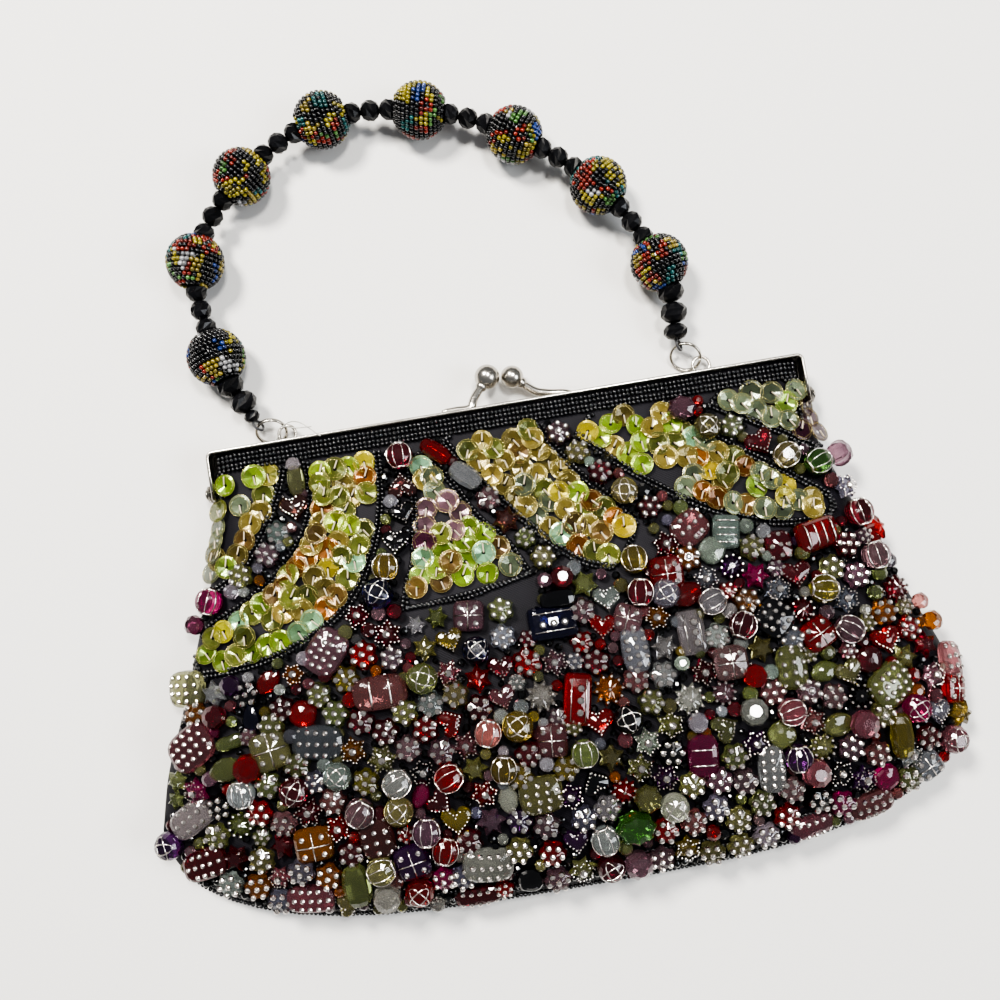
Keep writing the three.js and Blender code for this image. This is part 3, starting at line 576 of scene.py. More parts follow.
def swept(path, section, closed=False, upright=False):
    """A section carried along a path: each point is the path plus section x and y along the frame's axes."""
    path = np.asarray(path, float)
    frames = frames_along(path, closed)
    if upright:
        side = unit(np.cross(frames[..., 2], np.array([0.0, 0.0, 1.0])))
        frames = np.stack([side, np.broadcast_to([0.0, 0.0, 1.0], side.shape), frames[..., 2]], -1)
    section = np.asarray(section, float)
    if section.ndim == 2:
        section = np.broadcast_to(section, (len(path),) + section.shape)
    rows = path[:, None] + np.einsum("pij,psj->psi", frames[..., :2], section)
    if upright:
        rows = rows[:, ::-1]
    if closed:
        rows = np.concatenate([rows, rows[:1]])
        shape = grid_shape(rows[:-1], close=(False, False))
        n, m = rows.shape[0] - 1, rows.shape[1]
        i = np.arange(m)
        last = np.stack([(n - 1) * m + i, (n - 1) * m + (i + 1) % m, (i + 1) % m, i], -1)
        return Shape(shape.points, np.concatenate([shape.corners, last.ravel()]),
                     np.concatenate([shape.counts, np.full(m, 4)]))
    return grid_shape(rows)


def circle(radius, sides, start=0.0):
    """Points at equal angles round a circle."""
    angle = start + 2 * np.pi * np.arange(sides) / sides
    return radius * np.stack([np.cos(angle), np.sin(angle)], -1)


def turned(profile, sides):
    """A profile of radius and height turned about Z: x and y are the radius times cosine and sine."""
    profile = np.asarray(profile, float)
    ring = circle(1.0, sides)
    rows = np.empty((len(profile), sides, 3))
    rows[..., :2] = profile[:, None, :1] * ring[None]
    rows[..., 2] = profile[:, 1:]
    return grid_shape(rows)


def ball(centre, radius, sides=40, rings=24):
    """A sphere: turned profile whose radius and height are sine and cosine of the angle from its pole."""
    angle = np.linspace(np.pi, 0, rings + 1)[1:-1]
    shape = turned(np.stack([np.sin(angle), np.cos(angle)], -1) * radius, sides)
    shape.points = shape.points + np.asarray(centre)
    return shape


def smooth_path(points, per_span=10):
    """A smooth line through points: cubic spans whose slopes come from the neighbours' chord."""
    points = np.asarray(points, float)
    ends = [2 * points[0] - points[1], *points, 2 * points[-1] - points[-2]]
    p = np.array(ends)
    t = np.linspace(0, 1, per_span, endpoint=False)[:, None]
    spans = [0.5 * (2 * b + (c - a) * t + (2 * a - 5 * b + 4 * c - d) * t**2
                    + (3 * b - a - 3 * c + d) * t**3)
             for a, b, c, d in zip(p[:-3], p[1:-2], p[2:-1], p[3:])]
    return np.concatenate(spans + [points[-1:]])


def spaced(path, pitch, closed=False):
    """Points at equal steps along a path, and the path's way at each."""
    path = np.asarray(path, float)
    if closed:
        path = np.concatenate([path, path[:1]])
    step = np.linalg.norm(np.diff(path, axis=0), axis=1)
    length = np.concatenate([[0], np.cumsum(step)])
    count = max(2, int(round(length[-1] / pitch)))
    at = np.linspace(0, length[-1], count, endpoint=not closed)
    points = np.stack([np.interp(at, length, path[:, k]) for k in range(path.shape[1])], -1)
    ahead = np.stack([np.interp(at + 0.05, length, path[:, k]) for k in range(path.shape[1])], -1)
    before = np.stack([np.interp(at - 0.05, length, path[:, k]) for k in range(path.shape[1])], -1)
    return points, unit(ahead - before)


def node_centre(name):
    """Middle of a CAD node's box, in millimetres from the rail."""
    low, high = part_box(name)
    return (np.array(low) + np.array(high)) / 2 / MM - SHIFT


# Materials

def principled(name, **values):
    """A material whose shader sockets hold the given constants."""
    material = bpy.data.materials.new(name)
    material.use_nodes = True
    shader = material.node_tree.nodes["Principled BSDF"]
    for key, value in values.items():
        shader.inputs[key.replace("_", " ")].default_value = value
    return material, material.node_tree, shader


def node(tree, kind, **values):
    """A node with its sockets set by name, and its own properties where no socket has that name."""
    made = tree.nodes.new(kind)
    for key, value in values.items():
        socket = key.replace("_", " ")
        if socket in made.inputs:
            made.inputs[socket].default_value = value
        else:
            setattr(made, key, value)
    return made


def speckle(tree, shader, scale, low, high, bump=0.0, detail=3.0):
    """Roughness from noise between two values, and the same noise as a small bump."""
    place = node(tree, "ShaderNodeTexCoord")
    noise = node(tree, "ShaderNodeTexNoise", Scale=scale, Detail=detail)
    spread = node(tree, "ShaderNodeMapRange", To_Min=low, To_Max=high)
    tree.links.new(place.outputs["Object"], noise.inputs["Vector"])
    tree.links.new(noise.outputs["Fac"], spread.inputs["Value"])
    tree.links.new(spread.outputs["Result"], shader.inputs["Roughness"])
    if bump:
        height = node(tree, "ShaderNodeBump", Strength=bump, Distance=0.0002)
        tree.links.new(noise.outputs["Fac"], height.inputs["Height"])
        tree.links.new(height.outputs["Normal"], shader.inputs["Normal"])


def tinted(tree, shader, scale, low, high):
    """Base colour from each face's own tint, lightened and darkened by noise."""
    tint = node(tree, "ShaderNodeAttribute", attribute_name="tint")
    place = node(tree, "ShaderNodeTexCoord")
    noise = node(tree, "ShaderNodeTexNoise", Scale=scale, Detail=2.0)
    spread = node(tree, "ShaderNodeMapRange", To_Min=low, To_Max=high)
    mix = node(tree, "ShaderNodeVectorMath", operation="SCALE")
    tree.links.new(place.outputs["Object"], noise.inputs["Vector"])
    tree.links.new(noise.outputs["Fac"], spread.inputs["Value"])
    tree.links.new(tint.outputs["Color"], mix.inputs[0])
    tree.links.new(spread.outputs["Result"], mix.inputs["Scale"])
    tree.links.new(mix.outputs["Vector"], shader.inputs["Base Color"])


def satin_material(look):
    """Fine twill: two wave patterns across the cloth for thread and rib, noise for uneven dye."""
    material, tree, shader = principled(
        "satin", Sheen_Weight=0.02, Sheen_Roughness=0.4, Roughness=0.5, Specular_IOR_Level=0.16)
    place = node(tree, "ShaderNodeTexCoord")
    turn = node(tree, "ShaderNodeMapping")
    turn.inputs["Rotation"].default_value = (0, 0, 0.6)
    rib = node(tree, "ShaderNodeTexWave", Scale=620.0, Distortion=0.6, Detail=1.0)
    thread = node(tree, "ShaderNodeTexWave", Scale=520.0, Distortion=0.8, Detail=1.0)
    thread.bands_direction = "Y"
    weave = node(tree, "ShaderNodeMath", operation="MULTIPLY")
    cloud = node(tree, "ShaderNodeTexNoise", Scale=46.0, Detail=4.0)
    dye = node(tree, "ShaderNodeValToRGB")
    dye.color_ramp.elements[0].color = (*[0.55 * c for c in look.satin_colour], 1)
    dye.color_ramp.elements[1].color = (*[1.5 * c for c in look.satin_colour], 1)
    shade = node(tree, "ShaderNodeMapRange", To_Min=0.55, To_Max=1.25)
    colour = node(tree, "ShaderNodeVectorMath", operation="SCALE")
    bump = node(tree, "ShaderNodeBump", Strength=0.5, Distance=0.00012)
    link = tree.links.new
    link(place.outputs["Object"], turn.inputs["Vector"])
    link(turn.outputs["Vector"], rib.inputs["Vector"])
    link(turn.outputs["Vector"], thread.inputs["Vector"])
    link(place.outputs["Object"], cloud.inputs["Vector"])
    link(rib.outputs["Fac"], weave.inputs[0])
    link(thread.outputs["Fac"], weave.inputs[1])
    link(cloud.outputs["Fac"], dye.inputs["Fac"])
    link(weave.outputs["Value"], shade.inputs["Value"])
    link(dye.outputs["Color"], colour.inputs[0])
    link(shade.outputs["Result"], colour.inputs["Scale"])
    link(colour.outputs["Vector"], shader.inputs["Base Color"])
    link(weave.outputs["Value"], bump.inputs["Height"])
    link(bump.outputs["Normal"], shader.inputs["Normal"])
    return material


def acrylic_material(look):
    """Clear coloured plastic: each bead's tint, clouded inside, with a polished skin."""
    material, tree, shader = principled(
        "acrylic", IOR=1.49, Transmission_Weight=look.bead_clearness, Coat_Weight=0.4, Coat_Roughness=0.05)
    tinted(tree, shader, 180.0, 0.7, 1.35)
    speckle(tree, shader, 600.0, 0.04, 0.14, bump=0.03)
    return material


def pip_material(look):
    """Silvered pips: bright metal with slightly uneven polish."""
    material, tree, shader = principled(
        "silvered_pips", Metallic=1.0, Base_Color=(*look.pip_colour, 1))
    speckle(tree, shader, 1500.0, 0.08, 0.26, bump=0.15)
    return material


def sequin_material(look):
    """Iridescent film: each facet's tint, which carries painted glints and painted highlights, over a glossy,
    half metallic sheet that lets light through.
    """
    material, tree, shader = principled(
        "sequin_film", Metallic=0.35, Alpha=look.sequin_cover, Coat_Weight=0.3, Coat_Roughness=0.06)
    tinted(tree, shader, 300.0, 0.7, 1.35)
    speckle(tree, shader, 700.0, 0.1, 0.24)
    return material


def edge_material():
    """Bright creases and rims of the sequins: pale gold with uneven gloss, a painted highlight on the real
    edges where they catch the light.
    """
    material, tree, shader = principled("sequin_edges", Metallic=0.8, Base_Color=(0.50, 0.44, 0.18, 1))
    speckle(tree, shader, 900.0, 0.14, 0.34)
    return material


def glass_material(name, low, high, metallic, coat=0.5, specular=0.5):
    """Small glass beads: each bead's tint with a hard bright gloss."""
    material, tree, shader = principled(
        name, Metallic=metallic, IOR=1.52, Coat_Weight=coat, Coat_Roughness=0.04, Specular_IOR_Level=specular)
    tinted(tree, shader, 800.0, 0.7, 1.4)
    speckle(tree, shader, 1200.0, low, high)
    return material


def metal_material(look):
    """Silver plating: lighter and darker patches from wide noise, fine scratches from stretched noise."""
    material, tree, shader = principled("plated_metal", Metallic=1.0)
    place = node(tree, "ShaderNodeTexCoord")
    cloud = node(tree, "ShaderNodeTexNoise", Scale=90.0, Detail=5.0)
    ramp = node(tree, "ShaderNodeValToRGB")
    ramp.color_ramp.elements[0].position = 0.3
    ramp.color_ramp.elements[1].position = 0.7
    ramp.color_ramp.elements[0].color = (*[0.78 * c for c in look.metal_colour], 1)
    ramp.color_ramp.elements[1].color = (*look.metal_colour, 1)
    stretch = node(tree, "ShaderNodeMapping")
    stretch.inputs["Scale"].default_value = (0.2, 3.0, 3.0)
    scratch = node(tree, "ShaderNodeTexNoise", Scale=900.0, Detail=3.0)
    rough = node(tree, "ShaderNodeMapRange", To_Min=0.1, To_Max=0.36)
    bump = node(tree, "ShaderNodeBump", Strength=0.12, Distance=0.0001)
    link = tree.links.new
    link(place.outputs["Object"], cloud.inputs["Vector"])
    link(cloud.outputs["Fac"], ramp.inputs["Fac"])
    link(ramp.outputs["Color"], shader.inputs["Base Color"])
    link(place.outputs["Object"], stretch.inputs["Vector"])
    link(stretch.outputs["Vector"], scratch.inputs["Vector"])
    link(scratch.outputs["Fac"], rough.inputs["Value"])
    link(rough.outputs["Result"], shader.inputs["Roughness"])
    link(scratch.outputs["Fac"], bump.inputs["Height"])
    link(bump.outputs["Normal"], shader.inputs["Normal"])
    return material


def thread_material(name, colour, scale):
    """Spun thread: fine noise for uneven colour and for a small bump."""
    material, tree, shader = principled(name, Roughness=0.5, Sheen_Weight=0.2)
    place = node(tree, "ShaderNodeTexCoord")
    strands = node(tree, "ShaderNodeTexNoise", Scale=scale, Detail=3.0)
    ramp = node(tree, "ShaderNodeValToRGB")
    ramp.color_ramp.elements[0].color = (*[0.45 * c for c in colour], 1)
    ramp.color_ramp.elements[1].color = (*[min(1.0, 1.4 * c) for c in colour], 1)
    bump = node(tree, "ShaderNodeBump", Strength=0.3, Distance=0.0001)
    link = tree.links.new
    link(place.outputs["Object"], strands.inputs["Vector"])
    link(strands.outputs["Fac"], ramp.inputs["Fac"])
    link(ramp.outputs["Color"], shader.inputs["Base Color"])
    link(strands.outputs["Fac"], bump.inputs["Height"])
    link(bump.outputs["Normal"], shader.inputs["Normal"])
    return material


# Beads of the front

BOX_POWER = {"pips": 3.2, "cross": 4.5, "bar": 8.0, "segments": 3.0, "lines": 6.0}
FLAT_PROFILE = ((0.72, 0.0), (0.94, 0.10), (1.0, 0.38), (0.95, 0.66), (0.80, 0.83), (0.52, 0.93),
                (0.20, 1.0))
PETAL_PROFILE = ((0.74, 0.0), (1.0, 0.34), (0.86, 0.78), (0.30, 1.0))
PLAIN_PROFILE = ((0.42, 0.0), (0.90, 0.2), (1.0, 0.5), (0.90, 0.8), (0.42, 1.0))
ROUND_PROFILE = ((0.40, 0.0), (0.78, 0.1), (0.96, 0.3), (1.0, 0.5), (0.95, 0.7), (0.77, 0.88),
                 (0.40, 0.99))
STAR_PROFILE = ((0.75, 0.0), (1.0, 0.25), (0.96, 0.50), (0.55, 0.92), (0.20, 1.0))
ROUND_KINDS = ("round", "lantern", "orbit", "melon")


def outline(kind, sides):
    """Closed outline of a bead in plan, as x and y of an angle that runs once round it."""
    t = 2 * np.pi * np.arange(sides) / sides
    c, s = np.cos(t), np.sin(t)
    if kind == "flower":
        r = 0.80 + 0.20 * np.abs(np.sin(3 * t)) ** 0.7
    elif kind in ("star", "plainstar"):
        r = 0.62 + 0.38 * np.abs(2 * ((6 * t / (2 * np.pi)) % 1.0) - 1)
    elif kind == "spider":
        r = 0.66 + 0.34 * np.abs(np.cos(5 * t)) ** 1.2
    elif kind == "bow":
        r = 0.55 + 0.45 * np.abs(c) ** 1.5
    elif kind == "melon":
        r = 0.92 + 0.08 * np.cos(8 * t)
    elif kind == "heart":
        y = (13 * c - 5 * np.cos(2 * t) - 2 * np.cos(3 * t) - np.cos(4 * t)) / 16 + 0.12
        return np.stack([-(s**3), y], -1)
    elif kind == "leaf":
        return np.stack([c, s * np.abs(s) ** 0.6], -1)
    elif kind == "pear":
        return np.stack([c, s * (0.76 - 0.24 * c)], -1)
    elif kind in BOX_POWER:
        power = 2 / BOX_POWER[kind]
        return np.stack([np.sign(c) * np.abs(c) ** power, np.sign(s) * np.abs(s) ** power], -1)
    else:
        r = np.ones(sides)
    return np.stack([r * c, r * s], -1)


def bead_sides(kind):
    """How many points an outline gets."""
    return {"round": 9, "flower": 18, "lantern": 16, "orbit": 16, "star": 12, "plainstar": 12, "leaf": 16,
            "spider": 20, "melon": 24}.get(kind, 20)


def bead_body(kind):
    """Body of a bead: its outline times each ring of a profile, at that ring's height."""
    edge = outline(kind, bead_sides(kind))
    if kind == "round":
        profile = PLAIN_PROFILE
    elif kind == "flower":
        profile = PETAL_PROFILE
    elif kind in ROUND_KINDS:
        profile = ROUND_PROFILE
    elif kind in ("star", "plainstar", "spider"):
        profile = STAR_PROFILE
    else:
        profile = FLAT_PROFILE
    profile = np.array(profile)
    rows = np.empty((len(profile), len(edge), 3))
    rows[..., :2] = profile[:, None, :1] * edge[None]
    rows[..., 2] = profile[:, 1:]
    return grid_shape(rows)


def tube_body():
    """Lying tube: a circle of height and width carried along x, with drawn-in ends and flutes."""
    t = np.linspace(0, 2 * np.pi, 24, endpoint=False)
    flute = 1 + 0.05 * np.cos(8 * t)
    rows = []
    for x, r in ((-1, 0.42), (-0.93, 0.64), (-0.66, 0.88), (0, 1), (0.66, 0.88), (0.93, 0.64), (1, 0.42)):
        rows.append(np.stack([np.full(24, x), r * flute * np.cos(t), 0.5 + 0.5 * r * flute * np.sin(t)], -1))
    return grid_shape(np.array(rows))


def pip_spots(kind, long, wide):
    """Where silvered pips sit on a bead, in millimetres from its middle, and their radius."""
    a, b = long / 2, wide / 2
    if kind == "flower":
        t = np.radians(np.arange(30, 390, 60))
        ring = np.stack([0.64 * a * np.cos(t), 0.64 * b * np.sin(t)], -1)
        return np.concatenate([ring, [[0, 0]]]), 0.118 * (long + wide) / 2
    if kind == "pips":
        across, down = max(2, round(long / 2.9)), max(2, round(wide / 2.9))
        gx, gy = np.meshgrid(np.linspace(-0.68, 0.68, across), np.linspace(-0.62, 0.62, down))
        gx = gx + (np.arange(down) % 2)[:, None] * 0.06
        return np.stack([gx.ravel() * a, gy.ravel() * b], -1), 0.84
    if kind == "cross":
        return np.array([(sx * 0.5 * a, sy * 0.5 * b) for sx in (-1, 1) for sy in (-1, 1)]), 0.95
    if kind == "bar":
        return np.array([(x * a, -0.15 * b) for x in (-0.45, 0.0, 0.45)]), 1.2
    if kind == "star":
        return np.array([(0.0, 0.0)]), 1.25
    if kind == "spider":
        t = np.radians(np.arange(0, 360, 36))
        ring = np.stack([0.74 * a * np.cos(t), 0.74 * b * np.sin(t)], -1)
        return np.concatenate([ring, [[0, 0]]]), 0.52
    return np.empty((0, 2)), 0.0


def dotted_edge(kind, long, wide):
    """Places of small pips along the outline of hearts and stars, drawn in to a share of it."""
    share = {"heart": 0.78, "star": 0.86}[kind]
    path = outline(kind, 96) * share * np.array([long / 2, wide / 2])
    return spaced(path, 1.1, closed=True)[0]


def pip_shape():
    """A small dome: a turned profile that bulges at its foot and rounds over."""
    return turned(((0.85, -0.35), (1.0, 0.1), (0.8, 0.6), (0.25, 0.92)), 7)


def wire(path, radius, closed=False, sides=5):
    """Thin raised line on a bead: a small circle swept along a path."""
    return swept(path, circle(radius, sides), closed)


def silver_lines(kind):
    """Silver lines of a kind on a bead of unit size: meridians, crossed ellipses, bars or seams."""
    if kind == "lantern":
        polar = np.radians(np.linspace(-62, 62, 9))
        lines = []
        for around in np.radians((-62, -22, 22, 62)):
            path = np.stack([np.sin(polar), np.cos(polar) * np.sin(around),
                             0.5 + 0.5 * np.cos(polar) * np.cos(around)], -1)
            lines.append(wire(path * 1.01, 0.045))
        for x in (-0.88, 0.88):
            t = np.linspace(-0.2 * np.pi, 1.2 * np.pi, 12)
            path = np.stack([np.full(12, x), 0.48 * np.cos(t), 0.5 + 0.26 * np.sin(t)], -1)
            lines.append(wire(path, 0.09))
        return joined(lines)
    if kind == "orbit":
        lines = []
        for turn in np.radians((35, 125)):
            t = 2 * np.pi * np.arange(22) / 22
            x, y = 0.80 * np.cos(t), 0.36 * np.sin(t)
            x, y = x * np.cos(turn) - y * np.sin(turn), x * np.sin(turn) + y * np.cos(turn)
            z = 0.5 + 0.51 * np.sqrt(np.clip(1 - x * x - y * y, 0, 1))
            lines.append(wire(np.stack([x, y, z], -1), 0.05, closed=True))
        return joined(lines)
    if kind == "cross":
        top = 1.0
        across = wire([(-0.82, 0, top - 0.1), (0, 0, top), (0.82, 0, top - 0.1)], 0.05)
        down = wire([(0, -0.82, top - 0.1), (0, 0, top), (0, 0.82, top - 0.1)], 0.05)
        return joined([across, down])
    if kind in ("segments", "lines"):
        stops = (-0.34, 0.34) if kind == "segments" else (-0.62, -0.2, 0.2, 0.62)
        return joined([wire([(x, -0.85, 0.72), (x, -0.5, 0.98), (x, 0.5, 0.98), (x, 0.85, 0.72)], 0.045)
                       for x in stops])
    if kind == "bar":
        return joined([wire([(-0.8, y, 0.97), (0.8, y, 0.97)], 0.04) for y in (-0.55, 0.5)])
    return None


LINED_KINDS = ("lantern", "orbit", "cross", "segments", "lines", "bar")


def leaf_line(leaf, extra=0.0, samples=60):
    """Middle line and half width of a leaf, each a smooth line through the leaf's table."""
    path = smooth_path(np.array(leaf, float), samples // (len(leaf) - 1))
    return path[:, :2], path[:, 2] + extra


def distance_to_leaves(x, y):
    """Distance outside the nearest leaf's edge, negative inside: from the middle line less the half width."""
    nearest = np.full(len(x), 1e3)
    for leaf in LEAVES:
        line, half = leaf_line(leaf)
        gap = np.hypot(x[:, None] - line[None, :, 0], y[:, None] - line[None, :, 1]) - half[None]
        nearest = np.minimum(nearest, gap.min(1))
    return nearest


def in_field(places, radius):
    """Which places lie on the front, inside its seams and clear of the leaves by a radius and the border."""
    u, v = where_on(places[:, 0], places[:, 1])
    inside = np.abs(places[:, 0]) < column(v, HALF) * 0.985 - radius * 0.4
    above = places[:, 1] > plan(u, np.full(len(u), 0.985))[1] + radius * 0.8
    clear = distance_to_leaves(places[:, 0], places[:, 1]) > radius + BORDER * 0.6
    return inside & above & clear & (places[:, 1] < -ROWS_DOWN - 1.3)


def eased(x, y, r, fixed, rounds=30):
    """Beads pushed off each other: each moves by a share of every overlap, and only where it stays
    in the field."""
    for _ in range(rounds):
        dx, dy = x[:, None] - x[None], y[:, None] - y[None]
        gap = np.hypot(dx, dy) + np.eye(len(x)) * 1e3
        push = np.clip((r[:, None] + r[None]) * 0.93 - gap, 0, None) / gap * 0.4
        push[:fixed] = 0
        moved = np.stack([x + (push * dx).sum(1), y + (push * dy).sum(1)], -1)
        fine = in_field(moved, r)
        fine[:fixed] = False
        x, y = np.where(fine, moved[:, 0], x), np.where(fine, moved[:, 1], y)
    return x, y


def fill_field(rng):
    """Places, diameters, kinds and colours of beads between the main ones: seeded darts, large ones first."""
    x = np.array([b[0] for b in BEADS], float)
    y = np.array([b[1] for b in BEADS], float)
    r = np.array([min(b[4], b[5]) * 0.25 + max(b[4], b[5]) * 0.22 for b in BEADS])
    fixed = len(x)
    for size, tries in FILL_SIZES:
        darts = rng.uniform((-122, -146), (122, -7.5), (tries, 2))
        spacing = FIRST_SPACING if size == FILL_SIZES[0][0] else SPACING
        for px, py in darts[in_field(darts, size / 2)]:
            if np.all(np.hypot(x - px, y - py) > (r + size / 2) * spacing):
                x, y, r = np.append(x, px), np.append(y, py), np.append(r, size / 2)
        if size == FILL_SIZES[0][0]:
            x, y = eased(x, y, r, fixed)
    kinds = rng.choice([k for k, _ in FILL_KINDS], len(x) - fixed,
                       p=np.array([w for _, w in FILL_KINDS]) / sum(w for _, w in FILL_KINDS))
    colours = rng.choice([k for k, _ in FILL_COLOURS], len(x) - fixed,
                         p=np.array([w for _, w in FILL_COLOURS]) / sum(w for _, w in FILL_COLOURS))
    rows = list(BEADS)
    for px, py, pr, kind, colour in zip(x[fixed:], y[fixed:], r[fixed:], kinds, colours):
        kind = str(kind) if 2 * pr > LEAST_PATTERNED else "round"
        colour = colour if 2 * pr > 3 else "jet"
        rows.append((px, py, kind, str(colour), 2 * pr, 2 * pr, rng.uniform(0, 360)))
    return rows


def bead_height(kind, long, wide):
    """Height of a bead: its width where it is round, and about a third of its size where it is flat."""
    small = min(long, wide)
    if kind in ROUND_KINDS or kind == "tube":
        return 0.82 * small
    if kind in ("pips", "cross", "bar", "segments", "lines"):
        return min(4.4, 0.46 * small)
    return min(3.6, 0.42 * small)


def build_beads(look):
    """Bodies, pips and silver lines of the front's beads."""
    rng = np.random.default_rng(11)
    rows = fill_field(rng)
    x, y = np.array([r[0] for r in rows]), np.array([r[1] for r in rows])
    kinds = np.array([r[2] for r in rows])
    long, wide = np.array([r[4] for r in rows], float), np.array([r[5] for r in rows], float)
    points, frames = stand_on_front(x, y, 0.4)
    frames = tilt(turn_about_normal(frames, np.array([r[6] for r in rows], float)), rng, 4.0)
    height = np.array([bead_height(k, a, b) for k, a, b in zip(kinds, long, wide)])
    lift = 0.35 + rng.uniform(0, 0.7, len(rows))
    base = points + frames[..., 2] * lift[:, None]
    shade = rng.uniform(0.8, 1.4, (len(rows), 1)) * rng.uniform(0.9, 1.1, (len(rows), 3))
    colours = np.array([PALETTE[r[3]] for r in rows]) * shade
    bodies, body_tints, lines = [], [], []
    for kind in dict.fromkeys(kinds):
        pick = kinds == kind
        body = tube_body() if kind == "tube" else bead_body(kind)
        scales = np.stack([long[pick] / 2, wide[pick] / 2, height[pick]], -1)
        made = stamped(body, base[pick], frames[pick], scales)
        bodies.append(made)
        body_tints.append(tints(made, colours[pick]))
        if kind in LINED_KINDS:
            lines.append(stamped(silver_lines(kind), base[pick], frames[pick], scales))
    spots, spot_frames, spot_radii = [], [], []
    for i, kind in enumerate(kinds):
        for places, radius in pip_groups(kind, long[i], wide[i]):
            reach = np.hypot(places[:, 0] / (long[i] / 2), places[:, 1] / (wide[i] / 2))
            top = height[i] * (1.0 - 0.3 * np.clip(reach - 0.45, 0, 1) ** 1.5 / 0.3)
            local = np.concatenate([places, top[:, None] - 0.15], 1)
            spots.append(base[i] + local @ frames[i].T)
            spot_frames.append(np.broadcast_to(frames[i], (len(places), 3, 3)))
            spot_radii.append(np.full(len(places), radius))
    spots, spot_frames = np.concatenate(spots), np.concatenate(spot_frames)
    radii = np.concatenate(spot_radii)[:, None]
    pips = stamped(pip_shape(), spots, spot_frames, radii)
    fields = add_object("acrylic_beads", joined(bodies), acrylic_material(look),
                        np.concatenate(body_tints), smooth=False)
    declare(fields, "acrylic_beads", "bead_field", "bead_channel")
    silver = pip_material(look)
    declare(add_object("silvered_pips", pips, silver, smooth=False), "acrylic_beads")
    declare(add_object("silvered_lines", joined(lines), silver), "acrylic_beads")


def pip_groups(kind, long, wide):
    """All groups of pips on a bead of this kind."""
    groups = []
    places, radius = pip_spots(kind, long, wide)
    if len(places):
        groups.append((places, radius))
    if kind in ("heart", "star"):
        groups.append((dotted_edge(kind, long, wide), 0.34))
    return groups


# Sequins

def sequin_shape():
    """Cup sequin of unit radius: a hole, six flat facets up to a hexagon, and a thin round rim.
    Each ring is a radius of the angle and a height; the underside is the same, one film lower."""
    sides = 18
    t = 2 * np.pi * np.arange(sides) / sides
    to_flat = np.cos(((t + np.pi / 6) % (np.pi / 3)) - np.pi / 6)
    hexagon = 0.74 / to_flat
    film = 0.03
    rings = ((0.14, -0.16), (hexagon, 0.0), (hexagon + 0.03, 0.025), (1.0, -0.02), (1.0, -0.02 - film),
             (hexagon, -film), (0.14, -0.16 - film), (0.14, -0.16))
    rows = [np.stack([r * np.cos(t), r * np.sin(t), np.full(sides, z)], -1) for r, z in rings]
    shape = grid_shape(np.array(rows[::-1]), close=(False, False))
    return shape, sides


def leaf_places(leaf, rng):
    """Places of one leaf's sequins: rows across its middle line, every other row half a step over."""
    line, half = leaf_line(leaf)
    step = np.concatenate([[0], np.cumsum(np.linalg.norm(np.diff(line, axis=0), axis=1))])
    places, shares = [], []
    for row, at in enumerate(np.arange(FIRST_SEQUIN_ROW, step[-1] - 1.0, SEQUIN_ROW_STEP)):
        centre = np.array([np.interp(at, step, line[:, 0]), np.interp(at, step, line[:, 1])])
        ahead = np.array([np.interp(at + 1, step, line[:, 0]), np.interp(at + 1, step, line[:, 1])])
        way = unit(ahead - centre)
        width = np.interp(at, step, half) - SEQUIN_INSET
        count = max(1, int(round(2 * width / SEQUIN_STEP)) + (row % 2))
        for across in np.linspace(-width, width, count) if count > 1 else [0.0]:
            stray = rng.uniform(-SEQUIN_STRAY, SEQUIN_STRAY, 2)
            places.append(centre + across * np.array([-way[1], way[0]]) + stray)
            shares.append(at / step[-1])
    places, shares = np.array(places), np.array(shares)
    to_bare = np.min([np.hypot(places[:, 0] - x, places[:, 1] - y) for x, y in BARE], axis=0)
    keep = (to_bare >= BARE_RADIUS) & (places[:, 1] < SEQUIN_TOP)
    return places[keep], shares[keep]


